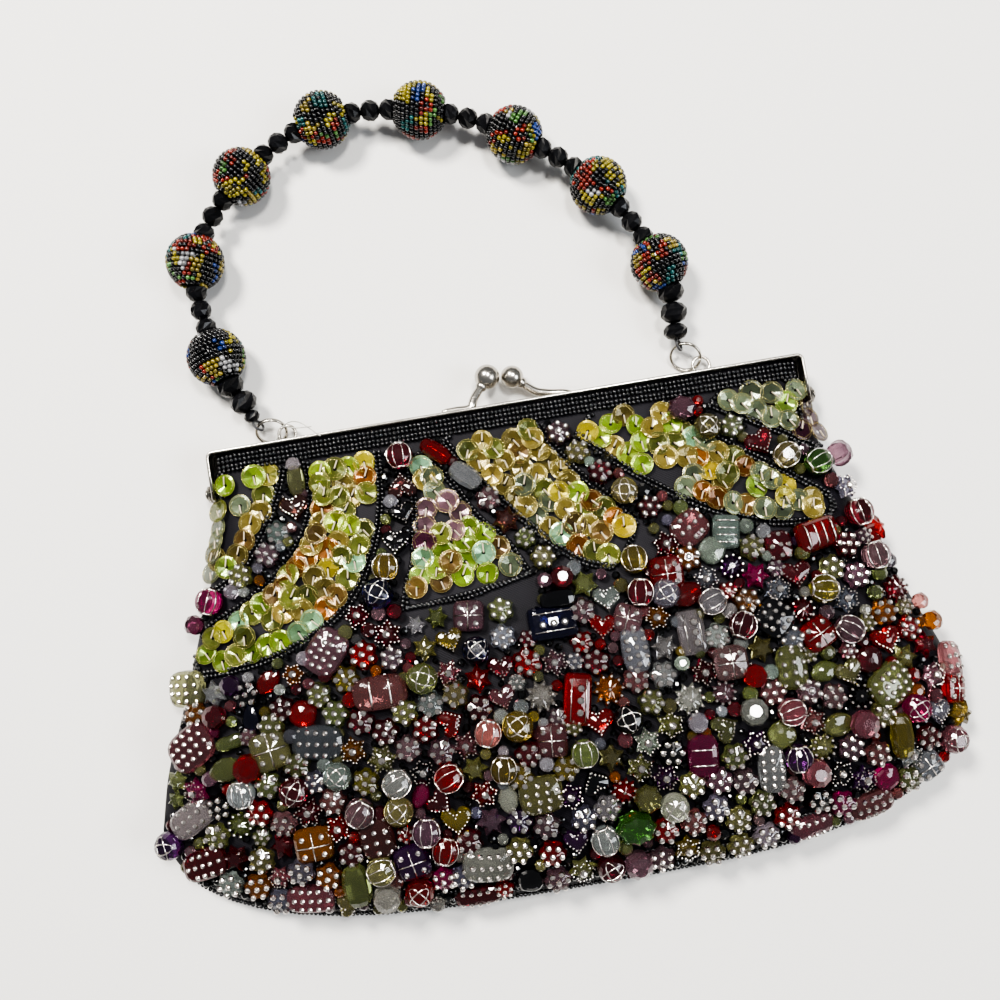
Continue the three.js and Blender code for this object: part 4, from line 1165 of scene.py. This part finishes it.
def build_sequins(look):
    """Sequins of all leaves, and the pale stitch that holds each."""
    rng = np.random.default_rng(5)
    shape, sides = sequin_shape()
    faces = len(shape.counts)
    facet = (np.arange(faces) % sides) * 6 // sides
    film = sequin_material(look)
    # Hexagon creases and round rims: real edges of a cup sequin, made bright pale gold as a painted highlight
    # where they catch the light.
    hexagon = 0.75 / np.cos(np.pi / 6) * circle(1.0, 6)
    rims = []
    for path, thick in ((hexagon, 0.022), (circle(0.99, 18), 0.013)):
        ring = np.concatenate([path, np.zeros((len(path), 1))], 1)
        rims.append(swept(ring, circle(thick, 4), closed=True))
    rims[0].points[:, 2] += 0.03
    edge = joined(rims)
    edges = []
    stitch_parts = []
    for number, leaf in enumerate(LEAVES):
        places, shares = leaf_places(leaf, rng)
        points, frames = stand_on_front(places[:, 0], places[:, 1], 0.6)
        frames = tilt(turn_about_normal(frames, rng.uniform(0, 360, len(places))), rng, 7.0)
        points = points + frames[..., 2] * rng.uniform(1.0, 2.2, (len(places), 1))
        words = [rng.choice(LEAF_COLOURS[number][min(2, int(3 * share))].split()) for share in shares]
        base = np.array([PALETTE[word] for word in words]) * rng.uniform(0.3, 0.85, (len(places), 1))
        tint = np.repeat(base[:, None], faces, 1)
        # Painted highlight: about a quarter of the sequins get a bright flash colour on their facets,
        # standing in for light caught by the film.
        has_painted_highlight = rng.uniform(0, 1, len(places)) < 0.24
        # Painted glint: each of a sequin's six facets gets its own brightness, as if each caught the light at
        # its own angle.
        painted_glint = rng.uniform(0.35, 1.15, (len(places), 6))[:, facet]
        highlight_colour = np.array([PALETTE[w] for w in rng.choice(PAINTED_HIGHLIGHT_COLOURS, len(places))])
        tint = tint * (0.75 + 0.4 * painted_glint[..., None])
        tint = np.where(has_painted_highlight[:, None, None], 0.3 * tint + painted_glint[..., None] * highlight_colour[:, None], tint)
        radius = look.sequin_size / 2 * rng.uniform(0.93, 1.05, (len(places), 1))
        made = stamped(shape, points, frames, radius)
        edges.append(stamped(edge, points, frames, radius))
        piece = add_object(f"sequins_{number + 1}", made, film, np.clip(tint.reshape(-1, 3), 0, 1),
                           smooth=False)
        declare(piece, "sequins", f"sequin_leaf_{number + 1}")
        angle = np.radians(rng.choice([-75, -100, 70, -60], len(places)) + rng.uniform(-18, 18, len(places)))
        _, level = stand_on_front(places[:, 0], places[:, 1])
        way = (np.cos(angle)[:, None] * level[..., 0] + np.sin(angle)[:, None] * level[..., 1])
        stitch_parts.append((points, way, level[..., 2]))
    start = np.concatenate([p[0] for p in stitch_parts])
    way = np.concatenate([p[1] for p in stitch_parts])
    normal = np.concatenate([p[2] for p in stitch_parts])
    frames = np.stack([np.cross(normal, way), normal, way], -1)
    stitch = turned(((0.25, -0.02), (0.8, 0.0), (1.0, 0.1), (1.0, 0.9), (0.8, 1.0), (0.25, 1.02)), 6)
    made = stamped(stitch, start + normal * 0.3, frames, (0.22, 0.22, 2.6))
    piece = add_object("sequin_stitches", made, thread_material("stitch_thread", (0.5, 0.42, 0.3), 700.0))
    declare(piece, "sequins")
    declare(add_object("sequin_edges", joined(edges), edge_material()), "sequins")


# Seed beads

def seed_shape(sides=7):
    """Seed bead of unit radius lying along Z: a rounded drum whose ends dip to its hole."""
    return turned(((0.38, -0.84), (0.78, -0.68), (1.0, -0.2), (1.0, 0.2), (0.78, 0.68), (0.38, 0.84)), sides)


def seeds_along(places, way, lift, jitter, rng):
    """Seed beads at plan places, threaded along a way on the cloth: points and frames."""
    points, level = stand_on_front(places[:, 0], places[:, 1])
    flat = np.stack([way[:, 0], way[:, 1], np.zeros(len(way))], -1)
    normal = level[..., 2]
    along = unit(flat - normal * np.sum(flat * normal, -1, keepdims=True))
    along = unit(along + rng.normal(0, jitter, along.shape))
    side = unit(np.cross(normal, along))
    frames = np.stack([side, np.cross(along, side), along], -1)
    return points + normal * lift, frames


def leaf_loop(leaf, out):
    """Outline of a leaf at a distance outside it: the middle line plus and minus the half width."""
    line, half = leaf_line(leaf, out)
    way = unit(np.gradient(line, axis=0))
    side = np.stack([-way[:, 1], way[:, 0]], -1)
    left, right = line + side * half[:, None], line - side * half[:, None]
    return np.concatenate([left, [line[-1] + way[-1] * out], right[::-1], [line[0] - way[0] * out]])


def build_seed_rows(look):
    """Rows of seed beads: under the frame, down its arms, round the leaves and along the bottom."""
    rng = np.random.default_rng(3)
    pitch, radius = look.seed_pitch, look.seed_size / 2
    groups = {"frame": [], "leaves": [], "seam": []}
    for y in FRAME_ROWS:
        path = np.stack([np.linspace(-FRAME_ROWS_HALF, FRAME_ROWS_HALF, 200), np.full(200, y)], -1)
        groups["frame"].append(spaced(path, pitch))
    for x, low in ARM_ROWS:
        path = np.stack([np.full(40, x), np.linspace(-6.8, low, 40)], -1)
        groups["frame"].append(spaced(path, pitch))
    for leaf in LEAVES:
        for out in LEAF_ROWS:
            points, way = spaced(leaf_loop(leaf, out), pitch, closed=True)
            u, v = where_on(points[:, 0], points[:, 1])
            inside = (points[:, 1] < -6.9) & (np.abs(points[:, 0]) < column(v, HALF) * 0.99)
            groups["leaves"].append((points[inside], way[inside]))
    for v in SEAM_ROWS:
        u = np.linspace(-0.93, 0.96, 400)
        x, y = plan(u, np.full(400, v))
        groups["seam"].append(spaced(np.stack([x, y], -1), pitch * 0.95))
    for name, rows in groups.items():
        places, way = np.concatenate([r[0] for r in rows]), np.concatenate([r[1] for r in rows])
        places = places + rng.normal(0, 0.05, places.shape)
        points, frames = seeds_along(places, way, radius + 0.15, 0.06, rng)
        size = radius * rng.uniform(0.92, 1.06, (len(points), 1))
        made = stamped(seed_shape(), points, frames, np.repeat(size, 3, 1))
        colours = np.array([PALETTE["jet"]]) * rng.uniform(0.6, 2.0, (len(points), 1))
        piece = add_object(f"seed_rows_{name}", made, glass_material("gunmetal_glass", 0.05, 0.16, 0.0),
                           tints(made, colours))
        declare(piece, "black_glass")


# Pouch

def build_pouch(look):
    """Satin pouch: front and back as one skin round each section, closed along the bottom seam."""
    across, down = look.pouch_detail, int(look.pouch_detail * 0.6)
    s = np.sin(np.pi / 2 * np.linspace(-1, 1, across))
    v = np.sin(np.pi / 2 * np.linspace(0, 1, down) ** 1.15)
    uu, vv = np.meshgrid(s, v)
    top, low = front(uu, vv), back(uu, vv)
    rows = np.concatenate([top, low[:, -2:0:-1]], 1)
    shape = grid_shape(rows[::-1], close=(False, False))
    cloth = add_object("satin_pouch", shape, satin_material(look), merge=0.005)
    work = bmesh.new()
    work.from_mesh(cloth.data)
    bmesh.ops.recalc_face_normals(work, faces=work.faces)
    work.to_mesh(cloth.data)
    work.free()
    wall = cloth.modifiers.new("cloth wall", "SOLIDIFY")
    wall.thickness = look.cloth_thickness
    wall.offset = -1.0
    declare(cloth, "satin", "pouch")


# Frame

def rounded_box(width, height, radius, steps=4):
    """Section of a bar: a rectangle whose corners are quarter circles."""
    corner = np.repeat(np.arange(4), steps + 1)
    angle = np.pi / 2 * (corner + np.tile(np.arange(steps + 1), 4) / steps)
    side = np.array([(1, 1), (-1, 1), (-1, -1), (1, -1)])[corner]
    return np.stack([side[:, 0] * (width / 2 - radius) + radius * np.cos(angle),
                     side[:, 1] * (height / 2 - radius) + radius * np.sin(angle)], -1)


def plate(low, high, radius=0.25):
    """A thin plate between two corners: a rounded section carried along its longest side."""
    low, high = np.array(low, float), np.array(high, float)
    size, middle = high - low, (low + high) / 2
    axis = int(np.argmax(size))
    others = [k for k in range(3) if k != axis]
    section = rounded_box(size[others[0]], size[others[1]], min(radius, size[others].min() / 2.2))
    rows = np.empty((2, len(section), 3))
    for end, at in enumerate((low[axis], high[axis])):
        rows[end, :, axis] = at
        rows[end, :, others[0]] = middle[others[0]] + section[:, 0]
        rows[end, :, others[1]] = middle[others[1]] + section[:, 1]
    if axis == 1:
        rows = rows[::-1]
    return grid_shape(rows)


def ear(x_low, x_high, z_low, z_high):
    """Hinge ear: a rounded tongue in the plane across the frame's length."""
    section = rounded_box(5.0, z_high - z_low, 2.2, steps=6)
    rows = np.empty((2, len(section), 3))
    for end, x in enumerate((x_low, x_high)):
        rows[end, :, 0] = x
        rows[end, :, 1] = -HINGE_DOWN + section[:, 0]
        rows[end, :, 2] = (z_low + z_high) / 2 + section[:, 1]
    return grid_shape(rows)


def frame_half(side, clasp):
    """One half of the frame: a rounded bar carried down one arm, along the rail and down the other,
    with its lip, ears and clasp."""
    outer = FRAME_LENGTH / 2 - RAIL / 2
    z = FRAME_MIDDLE_Z + side * (HALF_SPACE + HALF_DEPTH / 2)
    corner = FRAME_CORNER
    bend = np.radians(np.linspace(180, 90, 9))
    left = np.stack([-outer + corner + corner * np.cos(bend), -corner + corner * np.sin(bend)], -1)
    right = left[::-1] * (-1, 1)
    path = np.concatenate([[(-outer, -ARM_DOWN)], [(-outer, -ARM_DOWN / 2)], left,
                           np.stack([np.linspace(-80, 80, 33), np.zeros(33)], -1), right,
                           [(outer, -ARM_DOWN / 2)], [(outer, -ARM_DOWN)]])
    path = np.concatenate([path, np.full((len(path), 1), z)], 1)
    parts = [swept(path, rounded_box(RAIL, HALF_DEPTH, 0.42), upright=True)]
    lip = sorted((FRAME_MIDDLE_Z + side * 0.5, FRAME_MIDDLE_Z + side * 1.2))
    parts.append(plate((-80, -9, lip[0]), (80, 0, lip[1])))
    step = 0.0 if side > 0 else 1.1
    ear_z = sorted((FRAME_MIDDLE_Z - side * 2.5, FRAME_MIDDLE_Z + side * HALF_DEPTH / 2))
    for end in (-1, 1):
        xs = sorted((end * (FRAME_LENGTH / 2 + step - 0.3), end * (FRAME_LENGTH / 2 + step + 0.8)))
        parts.append(ear(xs[0], xs[1], ear_z[0], ear_z[1]))
        if side < 0:
            xs = sorted((end * (FRAME_LENGTH / 2 - 0.3), end * (FRAME_LENGTH / 2 + 1.9)))
            parts.append(plate((xs[0], -14.1, 0.8), (xs[1], -9.1, FRAME_MIDDLE_Z - 2.8)))
    stops, radius = clasp
    centre = np.array(stops[-1], float)
    way = smooth_path(stops, 12)
    share = np.linspace(0, 1, len(way))
    thick = np.interp(share, *CLASP_ARM)
    section = thick[:, None, None] * circle(1.0, 16)[None]
    parts += [swept(way, section), ball(centre, radius)]
    collar = unit(np.array(stops[-2], float) - centre)
    parts.append(ball(centre + collar * radius * 0.94, 1.8, 24, 12))
    return parts


def tilted(points, tilts, centre):
    """Points turned about X and then about Y, and moved to a centre."""
    a, b = np.radians(tilts)
    about_x = np.array([[1, 0, 0], [0, np.cos(a), -np.sin(a)], [0, np.sin(a), np.cos(a)]])
    about_y = np.array([[np.cos(b), 0, np.sin(b)], [0, 1, 0], [-np.sin(b), 0, np.cos(b)]])
    return points @ about_x.T @ about_y.T + np.array(centre)


def ring_path(radius, steps, turns=1.0, rise=0.0):
    """Points round a circle, once or more, rising evenly along its axis."""
    t = np.linspace(0, 2 * np.pi * turns, steps, endpoint=rise != 0)
    z = np.linspace(-rise / 2, rise / 2, steps) if rise else np.zeros(steps)
    return np.stack([radius * np.cos(t), radius * np.sin(t), z], -1)


def build_frame(look):
    """Both halves of the frame, with the back half's loops."""
    metal = metal_material(look)
    front_half = joined(frame_half(1, CLASP_FRONT))
    declare(add_object("clasp_frame_front", front_half, metal), "silver_metal", "frame_front")
    loops = [swept(ring_path(LOOP_RADIUS, 40) + np.array(loop), circle(LOOP_WIRE, 12), closed=True)
             for _, loop, _, _, _ in LINKS]
    back_half = joined(frame_half(-1, CLASP_BACK) + loops)
    declare(add_object("clasp_frame_back", back_half, metal), "silver_metal", "frame_back")
    for piece in (bpy.data.objects["clasp_frame_front"], bpy.data.objects["clasp_frame_back"]):
        piece.modifiers.new("even shading", "WEIGHTED_NORMAL")


def build_hinges(look):
    """Domed rivets: a turned head and shank on each hinge's axis."""
    metal = metal_material(look)
    for name, end in (("left", -1), ("right", 1)):
        low, high = (np.array(corner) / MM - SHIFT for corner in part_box(f"hinge_rivet_{name}"))
        shape = turned(((0.5, 0.0), (0.9, 0.0), (0.9, 3.0), (1.6, 3.0), (1.7, 3.15), (1.45, 3.5),
                        (0.9, 3.75), (0.3, 3.8)), 24)
        start = (low[0] if end > 0 else high[0])
        x = start + end * shape.points[:, 2]
        y = (low[1] + high[1]) / 2 + shape.points[:, 0]
        z = FRAME_MIDDLE_Z - end * shape.points[:, 1]
        shape.points = np.stack([x, y, z], -1)
        declare(add_object(f"rivet_{name}", shape, metal), "silver_metal", f"hinge_rivet_{name}")


def build_rings(look):
    """Split rings: a round wire carried twice round a circle."""
    metal = metal_material(look)
    for name, _, centre, tilts, _ in LINKS:
        path = tilted(ring_path(RING_RADIUS, 120, RING_TURNS, RING_RISE), tilts, centre)
        shape = swept(path, circle(RING_WIRE, 12))
        declare(add_object(f"split_ring_{name}", shape, metal), "silver_metal", f"handle_ring_{name}")


# Handle

def handle_order():
    """Names of the handle's beads from its left end to its right end."""
    names = ["tip_bead_left", "end_bead_left_1", "end_bead_left_2", "beaded_ball_1"]
    for ball_number in range(2, 9):
        cut = 3 * (ball_number - 2)
        names += [f"cut_bead_{cut + k:02d}" for k in (1, 2, 3)] + [f"beaded_ball_{ball_number}"]
    return names + ["end_bead_right_1", "end_bead_right_2", "tip_bead_right"]


def handle_places():
    """Middle and way of each bead of the handle, the way from its neighbours' middles."""
    names = handle_order()
    centres = np.array([node_centre(name) for name in names])
    ways = unit(np.gradient(centres, axis=0))
    return names, centres, ways


def frames_from(ways):
    """Axes whose third is each way."""
    side = unit(np.cross(np.broadcast_to([0.0, 0.0, 1.0], ways.shape), ways))
    return np.stack([side, np.cross(ways, side), ways], -1)


def build_balls():
    """Balls wrapped in seed beads: rings of beads about the thread, coloured in patches over a black core."""
    names, centres, ways = handle_places()
    frames = frames_from(ways)
    glass = glass_material("bead_net_glass", 0.05, 0.18, 0.3)
    seed = seed_shape(6)
    for i, name in enumerate(names):
        if not name.startswith("beaded_ball"):
            continue
        rng = np.random.default_rng(40 + i)
        spots, rolls = [], []
        patches = unit(rng.normal(size=(80, 3)))
        words = rng.choice([word for word, _ in NET_COLOURS], len(patches),
                           p=[share for _, share in NET_COLOURS])
        for row, lat in enumerate(np.radians(np.linspace(-NET_END, NET_END, NET_RINGS))):
            count = int(round(2 * np.pi * NET_RADIUS * np.cos(lat) / NET_STEP))
            angle = 2 * np.pi * (np.arange(count) + 0.5 * (row % 2)) / count + rng.uniform(0, 0.1)
            spot = np.stack([np.cos(lat) * np.cos(angle), np.cos(lat) * np.sin(angle),
                             np.full(count, np.sin(lat))], -1)
            spots.append(spot)
            rolls.append(np.stack([-np.sin(angle), np.cos(angle), np.zeros(count)], -1))
        spots, rolls = np.concatenate(spots), np.concatenate(rolls)
        wobble = spots + 0.12 * np.sin(7 * spots[:, [1, 2, 0]])
        owners = np.argmax(wobble @ patches.T, 1)
        local = np.stack([np.cross(rolls, spots), spots, rolls], -1)
        scales = NET_SEED * rng.uniform(0.9, 1.08, (len(spots), 1))
        made = stamped(seed, spots * NET_RADIUS, local, np.repeat(scales, 3, 1))
        colours = np.array([PALETTE[words[o]] for o in owners]) * rng.uniform(0.35, 1.1, (len(spots), 1))
        colours[rng.uniform(size=len(spots)) < 0.2] = PALETTE["jet"]
        core_angle = np.linspace(np.pi - 0.5, 0.5, 14)
        core = turned(np.stack([np.sin(core_angle), np.cos(core_angle)], -1) * CORE_RADIUS, 24)
        shape = joined([made, core])
        tint = np.concatenate([tints(made, colours), np.tile(PALETTE["jet"], (len(core.counts), 1))])
        shape.points = shape.points @ frames[i].T + centres[i]
        declare(add_object(f"bead_net_{name[-1]}", shape, glass, tint), "seed_beads", name)


def build_cut_beads():
    """Black cut glass beads: a profile turned with few flat sides, alternate rings half a side over."""
    names, centres, ways = handle_places()
    frames = frames_from(ways)
    rng = np.random.default_rng(9)
    profile = ((0.36, -1.0), (0.70, -0.8), (0.97, -0.3), (0.97, 0.3), (0.70, 0.8), (0.36, 1.0))
    shape = turned(profile, 9)
    rows = shape.points.reshape(len(profile), 9, 3)
    half_side = np.pi / 9
    for ring in (1, 3, 5):
        x, y = rows[ring, :, 0].copy(), rows[ring, :, 1].copy()
        rows[ring, :, 0] = x * np.cos(half_side) - y * np.sin(half_side)
        rows[ring, :, 1] = x * np.sin(half_side) + y * np.cos(half_side)
    shape.points = rows.reshape(-1, 3)
    pick = [i for i, name in enumerate(names) if not name.startswith("beaded_ball")]
    sizes = np.array([CUT_SIZES[names[i].rstrip("_0123456789")] for i in pick])
    spin = rng.uniform(0, 360, len(pick))
    made = stamped(shape, centres[pick], turn_about_normal(frames[pick], spin), sizes[:, [0, 0, 1]])
    colours = np.array([PALETTE["jet"]] * len(pick)) * rng.uniform(0.7, 1.6, (len(pick), 1))
    material = glass_material("black_cut_glass", 0.16, 0.3, 0.0, coat=0.0, specular=0.3)
    piece = add_object("cut_glass_beads", made, material, tints(made, colours), smooth=False)
    declare(piece, "black_glass", *[names[i] for i in pick])


def grip(link, toward):
    """Where the thread holds a ring: a point of the ring, the ring's way there, and the thread's start."""
    _, _, centre, tilts, angle = link
    a = np.radians(angle)
    spot = tilted(np.array([[np.cos(a), np.sin(a), 0]]) * RING_RADIUS, tilts, centre)[0]
    way = tilted(np.array([[-np.sin(a), np.cos(a), 0]]), tilts, (0, 0, 0))[0]
    out = toward - spot
    out = unit(out - way * np.dot(out, way))
    return spot, way, out


def build_thread():
    """Handle's thread: a two-lobed section that twists as it runs through every bead, with an eye
    and a small knot at each ring."""
    _, centres, _ = handle_places()
    ends = [grip(LINKS[0], centres[0]), grip(LINKS[1], centres[-1])]
    stops = np.concatenate([[ends[0][0] + ends[0][2] * THREAD_EYE], centres,
                            [ends[1][0] + ends[1][2] * THREAD_EYE]])
    path, _ = spaced(smooth_path(stops, 12), THREAD_STEP)
    run = np.arange(len(path)) * THREAD_STEP
    around = 2 * np.pi * np.arange(12) / 12
    radius = THREAD_RADIUS + THREAD_LOBE * np.cos(2 * (around[None] - 2 * np.pi * run[:, None] / THREAD_LAY))
    section = radius[..., None] * np.stack([np.cos(around), np.sin(around)], -1)[None]
    parts = [swept(path, section)]
    for spot, way, out in ends:
        side = np.cross(way, out)
        t = 2 * np.pi * np.arange(30) / 30
        eye = spot + THREAD_EYE * (np.cos(t)[:, None] * out + np.sin(t)[:, None] * side)
        parts.append(swept(eye, circle(EYE_WIRE, 10), closed=True))
        parts.append(ball(spot + out * (THREAD_EYE + 0.5), KNOT_RADIUS, 16, 10))
    black = thread_material("black_thread", (0.03, 0.03, 0.033), 500.0)
    declare(add_object("handle_cord", joined(parts), black), "nylon_thread", "handle_thread")
    strands = [swept(smooth_path(strand, 10), circle(LOOSE_RADIUS, 8)) for strand in LOOSE_STRANDS]
    clear = thread_material("clear_thread", (0.5, 0.49, 0.45), 600.0)
    declare(add_object("loose_thread_end", joined(strands), clear), "nylon_thread")


# Stage

def build_stage(look):
    """Pale floor, three soft lights, and the camera above the bag, leaning towards its handle."""
    bpy.ops.mesh.primitive_plane_add(size=6.0)
    floor = bpy.context.object
    floor.name = "floor"
    material, tree, shader = principled("pale_floor", Base_Color=(0.72, 0.71, 0.69, 1), Roughness=0.8)
    speckle(tree, shader, 40.0, 0.75, 0.9)
    floor.data.materials.append(material)
    for name, place, size, power, colour in (
        ("key", (-0.45, 0.65, 1.15), 0.30, 27.0, (1.0, 0.96, 0.9)),
        ("fill", (0.95, -0.35, 1.0), 0.6, 9.0, (0.92, 0.96, 1.0)),
        ("top", (0.25, 0.35, 1.5), 0.25, 15.0, (1.0, 0.98, 0.95)),
    ):
        light = bpy.data.lights.new(name, "AREA")
        light.size, light.energy, light.color = size, power * look.light, colour
        lamp = bpy.data.objects.new(name, light)
        facing = Vector(place).to_track_quat("Z", "Y").to_matrix().to_4x4()
        lamp.matrix_world = Matrix.Translation(place) @ facing
        bpy.context.scene.collection.objects.link(lamp)
    world = bpy.data.worlds.new("studio")
    world.use_nodes = True
    world.node_tree.nodes["Background"].inputs["Color"].default_value = (0.8, 0.82, 0.85, 1)
    world.node_tree.nodes["Background"].inputs["Strength"].default_value = look.surround
    bpy.context.scene.world = world
    bpy.context.scene.view_settings.look = "AgX - High Contrast"
    lean, roll = np.radians(CAMERA_LEAN), np.radians(CAMERA_ROLL)
    right = np.array([np.cos(roll), -np.sin(roll), 0.0])
    level = np.array([np.sin(roll), np.cos(roll), 0.0])
    up = level * np.cos(lean) + np.array([0, 0, np.sin(lean)])
    behind = np.array([0, 0, np.cos(lean)]) - level * np.sin(lean)
    camera = bpy.data.cameras.new("camera")
    camera.sensor_width = SENSOR
    camera.lens = SENSOR * FOCAL_WIDTHS
    viewer = bpy.data.objects.new("camera", camera)
    place = (np.array(CAMERA_PLACE) + SHIFT) * MM
    matrix = np.eye(4)
    matrix[:3, 0], matrix[:3, 1], matrix[:3, 2], matrix[:3, 3] = right, up, behind, place
    viewer.matrix_world = Matrix(matrix.tolist())
    bpy.context.scene.collection.objects.link(viewer)
    bpy.context.scene.camera = viewer


# Add-on

class HandbagSizes(bpy.types.PropertyGroup):
    """Sizes of the bag's small parts."""

    sequin_size: bpy.props.FloatProperty(
        name="Sequin size", description="Diameter of a sequin, in millimetres", default=7.0, min=3, max=12)
    seed_size: bpy.props.FloatProperty(
        name="Seed bead size", description="Diameter of a seed bead, in millimetres", default=1.36, min=0.8,
        max=3)
    seed_pitch: bpy.props.FloatProperty(
        name="Seed bead pitch", description="Distance between seed beads on a row, in millimetres",
        default=1.27, min=0.8, max=3)
    cloth_thickness: bpy.props.FloatProperty(
        name="Cloth thickness", description="Thickness of the satin with its lining", default=0.0014,
        min=0.0005, max=0.003, unit="LENGTH")
    pouch_detail: bpy.props.IntProperty(
        name="Pouch detail", description="Points across the pouch", default=160, min=40, max=400)


class HandbagLooks(bpy.types.PropertyGroup):
    """Colours and lighting of the bag."""

    satin_colour: bpy.props.FloatVectorProperty(
        name="Satin colour", description="Colour of the pouch's satin", subtype="COLOR",
        default=(0.013, 0.012, 0.017), min=0, max=1)
    metal_colour: bpy.props.FloatVectorProperty(
        name="Metal colour", description="Colour of the frame's plating", subtype="COLOR",
        default=(0.54, 0.51, 0.46), min=0, max=1)
    pip_colour: bpy.props.FloatVectorProperty(
        name="Pip colour", description="Colour of the silvered pips on the beads", subtype="COLOR",
        default=(0.70, 0.65, 0.61), min=0, max=1)
    bead_clearness: bpy.props.FloatProperty(
        name="Bead clearness", description="How much light goes through the acrylic beads",
        subtype="FACTOR", default=0.87, min=0, max=1)
    sequin_cover: bpy.props.FloatProperty(
        name="Sequin cover", description="How much a sequin hides what is under it", subtype="FACTOR",
        default=0.55, min=0, max=1)
    light: bpy.props.FloatProperty(
        name="Light", description="Strength of the lamps", default=1.0, min=0, max=10)
    surround: bpy.props.FloatProperty(
        name="Surround", description="Strength of the light from all round", default=0.3, min=0, max=5)


class Settings:
    """Sizes and looks of the scene in one place."""

    def __init__(self, scene):
        for group in (scene.handbag_sizes, scene.handbag_looks):
            for key in type(group).__annotations__:
                setattr(self, key, getattr(group, key))


class HANDBAG_OT_pouch(bpy.types.Operator):
    """Make the satin pouch"""

    bl_idname = "handbag.pouch"
    bl_label = "Pouch"
    bl_options = {"REGISTER", "UNDO"}

    def execute(self, context):
        build_pouch(Settings(context.scene))
        return {"FINISHED"}


class HANDBAG_OT_beads(bpy.types.Operator):
    """Make the acrylic beads of the front"""

    bl_idname = "handbag.beads"
    bl_label = "Acrylic beads"
    bl_options = {"REGISTER", "UNDO"}

    def execute(self, context):
        build_beads(Settings(context.scene))
        return {"FINISHED"}


class HANDBAG_OT_sequins(bpy.types.Operator):
    """Make the sequinned leaves"""

    bl_idname = "handbag.sequins"
    bl_label = "Sequins"
    bl_options = {"REGISTER", "UNDO"}

    def execute(self, context):
        build_sequins(Settings(context.scene))
        return {"FINISHED"}


class HANDBAG_OT_seed_rows(bpy.types.Operator):
    """Make the rows of seed beads"""

    bl_idname = "handbag.seed_rows"
    bl_label = "Seed bead rows"
    bl_options = {"REGISTER", "UNDO"}

    def execute(self, context):
        build_seed_rows(Settings(context.scene))
        return {"FINISHED"}


class HANDBAG_OT_frame(bpy.types.Operator):
    """Make the two halves of the metal frame and its clasp"""

    bl_idname = "handbag.frame"
    bl_label = "Clasp frame"
    bl_options = {"REGISTER", "UNDO"}

    def execute(self, context):
        build_frame(Settings(context.scene))
        return {"FINISHED"}


class HANDBAG_OT_hinges(bpy.types.Operator):
    """Make the hinge rivets"""

    bl_idname = "handbag.hinges"
    bl_label = "Hinge rivets"
    bl_options = {"REGISTER", "UNDO"}

    def execute(self, context):
        build_hinges(Settings(context.scene))
        return {"FINISHED"}


class HANDBAG_OT_rings(bpy.types.Operator):
    """Make the split rings"""

    bl_idname = "handbag.rings"
    bl_label = "Split rings"
    bl_options = {"REGISTER", "UNDO"}

    def execute(self, context):
        build_rings(Settings(context.scene))
        return {"FINISHED"}


class HANDBAG_OT_balls(bpy.types.Operator):
    """Make the handle's beaded balls"""

    bl_idname = "handbag.balls"
    bl_label = "Beaded balls"
    bl_options = {"REGISTER", "UNDO"}

    def execute(self, context):
        build_balls()
        return {"FINISHED"}


class HANDBAG_OT_cut_beads(bpy.types.Operator):
    """Make the handle's cut glass beads"""

    bl_idname = "handbag.cut_beads"
    bl_label = "Cut glass beads"
    bl_options = {"REGISTER", "UNDO"}

    def execute(self, context):
        build_cut_beads()
        return {"FINISHED"}


class HANDBAG_OT_thread(bpy.types.Operator):
    """Make the handle's thread"""

    bl_idname = "handbag.thread"
    bl_label = "Handle thread"
    bl_options = {"REGISTER", "UNDO"}

    def execute(self, context):
        build_thread()
        return {"FINISHED"}


class HANDBAG_OT_stage(bpy.types.Operator):
    """Make the floor, the lights and the camera"""

    bl_idname = "handbag.stage"
    bl_label = "Stage"
    bl_options = {"REGISTER", "UNDO"}

    def execute(self, context):
        build_stage(Settings(context.scene))
        return {"FINISHED"}


OPERATORS = (
    HANDBAG_OT_pouch, HANDBAG_OT_beads, HANDBAG_OT_sequins, HANDBAG_OT_seed_rows, HANDBAG_OT_frame,
    HANDBAG_OT_hinges, HANDBAG_OT_rings, HANDBAG_OT_balls, HANDBAG_OT_cut_beads, HANDBAG_OT_thread,
    HANDBAG_OT_stage,
)


class HANDBAG_PT_steps(bpy.types.Panel):
    """Lists the steps that build the bag"""

    bl_idname = "HANDBAG_PT_steps"
    bl_label = "Handbag"
    bl_space_type = "VIEW_3D"
    bl_region_type = "UI"
    bl_category = "Handbag"

    def draw(self, context):
        for group in (context.scene.handbag_sizes, context.scene.handbag_looks):
            for key in type(group).__annotations__:
                self.layout.prop(group, key)
        for operator in OPERATORS:
            self.layout.operator(operator.bl_idname)


CLASSES = (HandbagSizes, HandbagLooks, *OPERATORS, HANDBAG_PT_steps)


def register():
    for entry in CLASSES:
        bpy.utils.register_class(entry)
    bpy.types.Scene.handbag_sizes = bpy.props.PointerProperty(type=HandbagSizes)
    bpy.types.Scene.handbag_looks = bpy.props.PointerProperty(type=HandbagLooks)


def unregister():
    del bpy.types.Scene.handbag_looks
    del bpy.types.Scene.handbag_sizes
    for entry in reversed(CLASSES):
        bpy.utils.unregister_class(entry)


def main():
    register()
    bpy.ops.handbag.pouch()
    bpy.ops.handbag.beads()
    bpy.ops.handbag.sequins()
    bpy.ops.handbag.seed_rows()
    bpy.ops.handbag.frame()
    bpy.ops.handbag.hinges()
    bpy.ops.handbag.rings()
    bpy.ops.handbag.balls()
    bpy.ops.handbag.cut_beads()
    bpy.ops.handbag.thread()
    bpy.ops.handbag.stage()


if __name__ == "__main__":
    main()
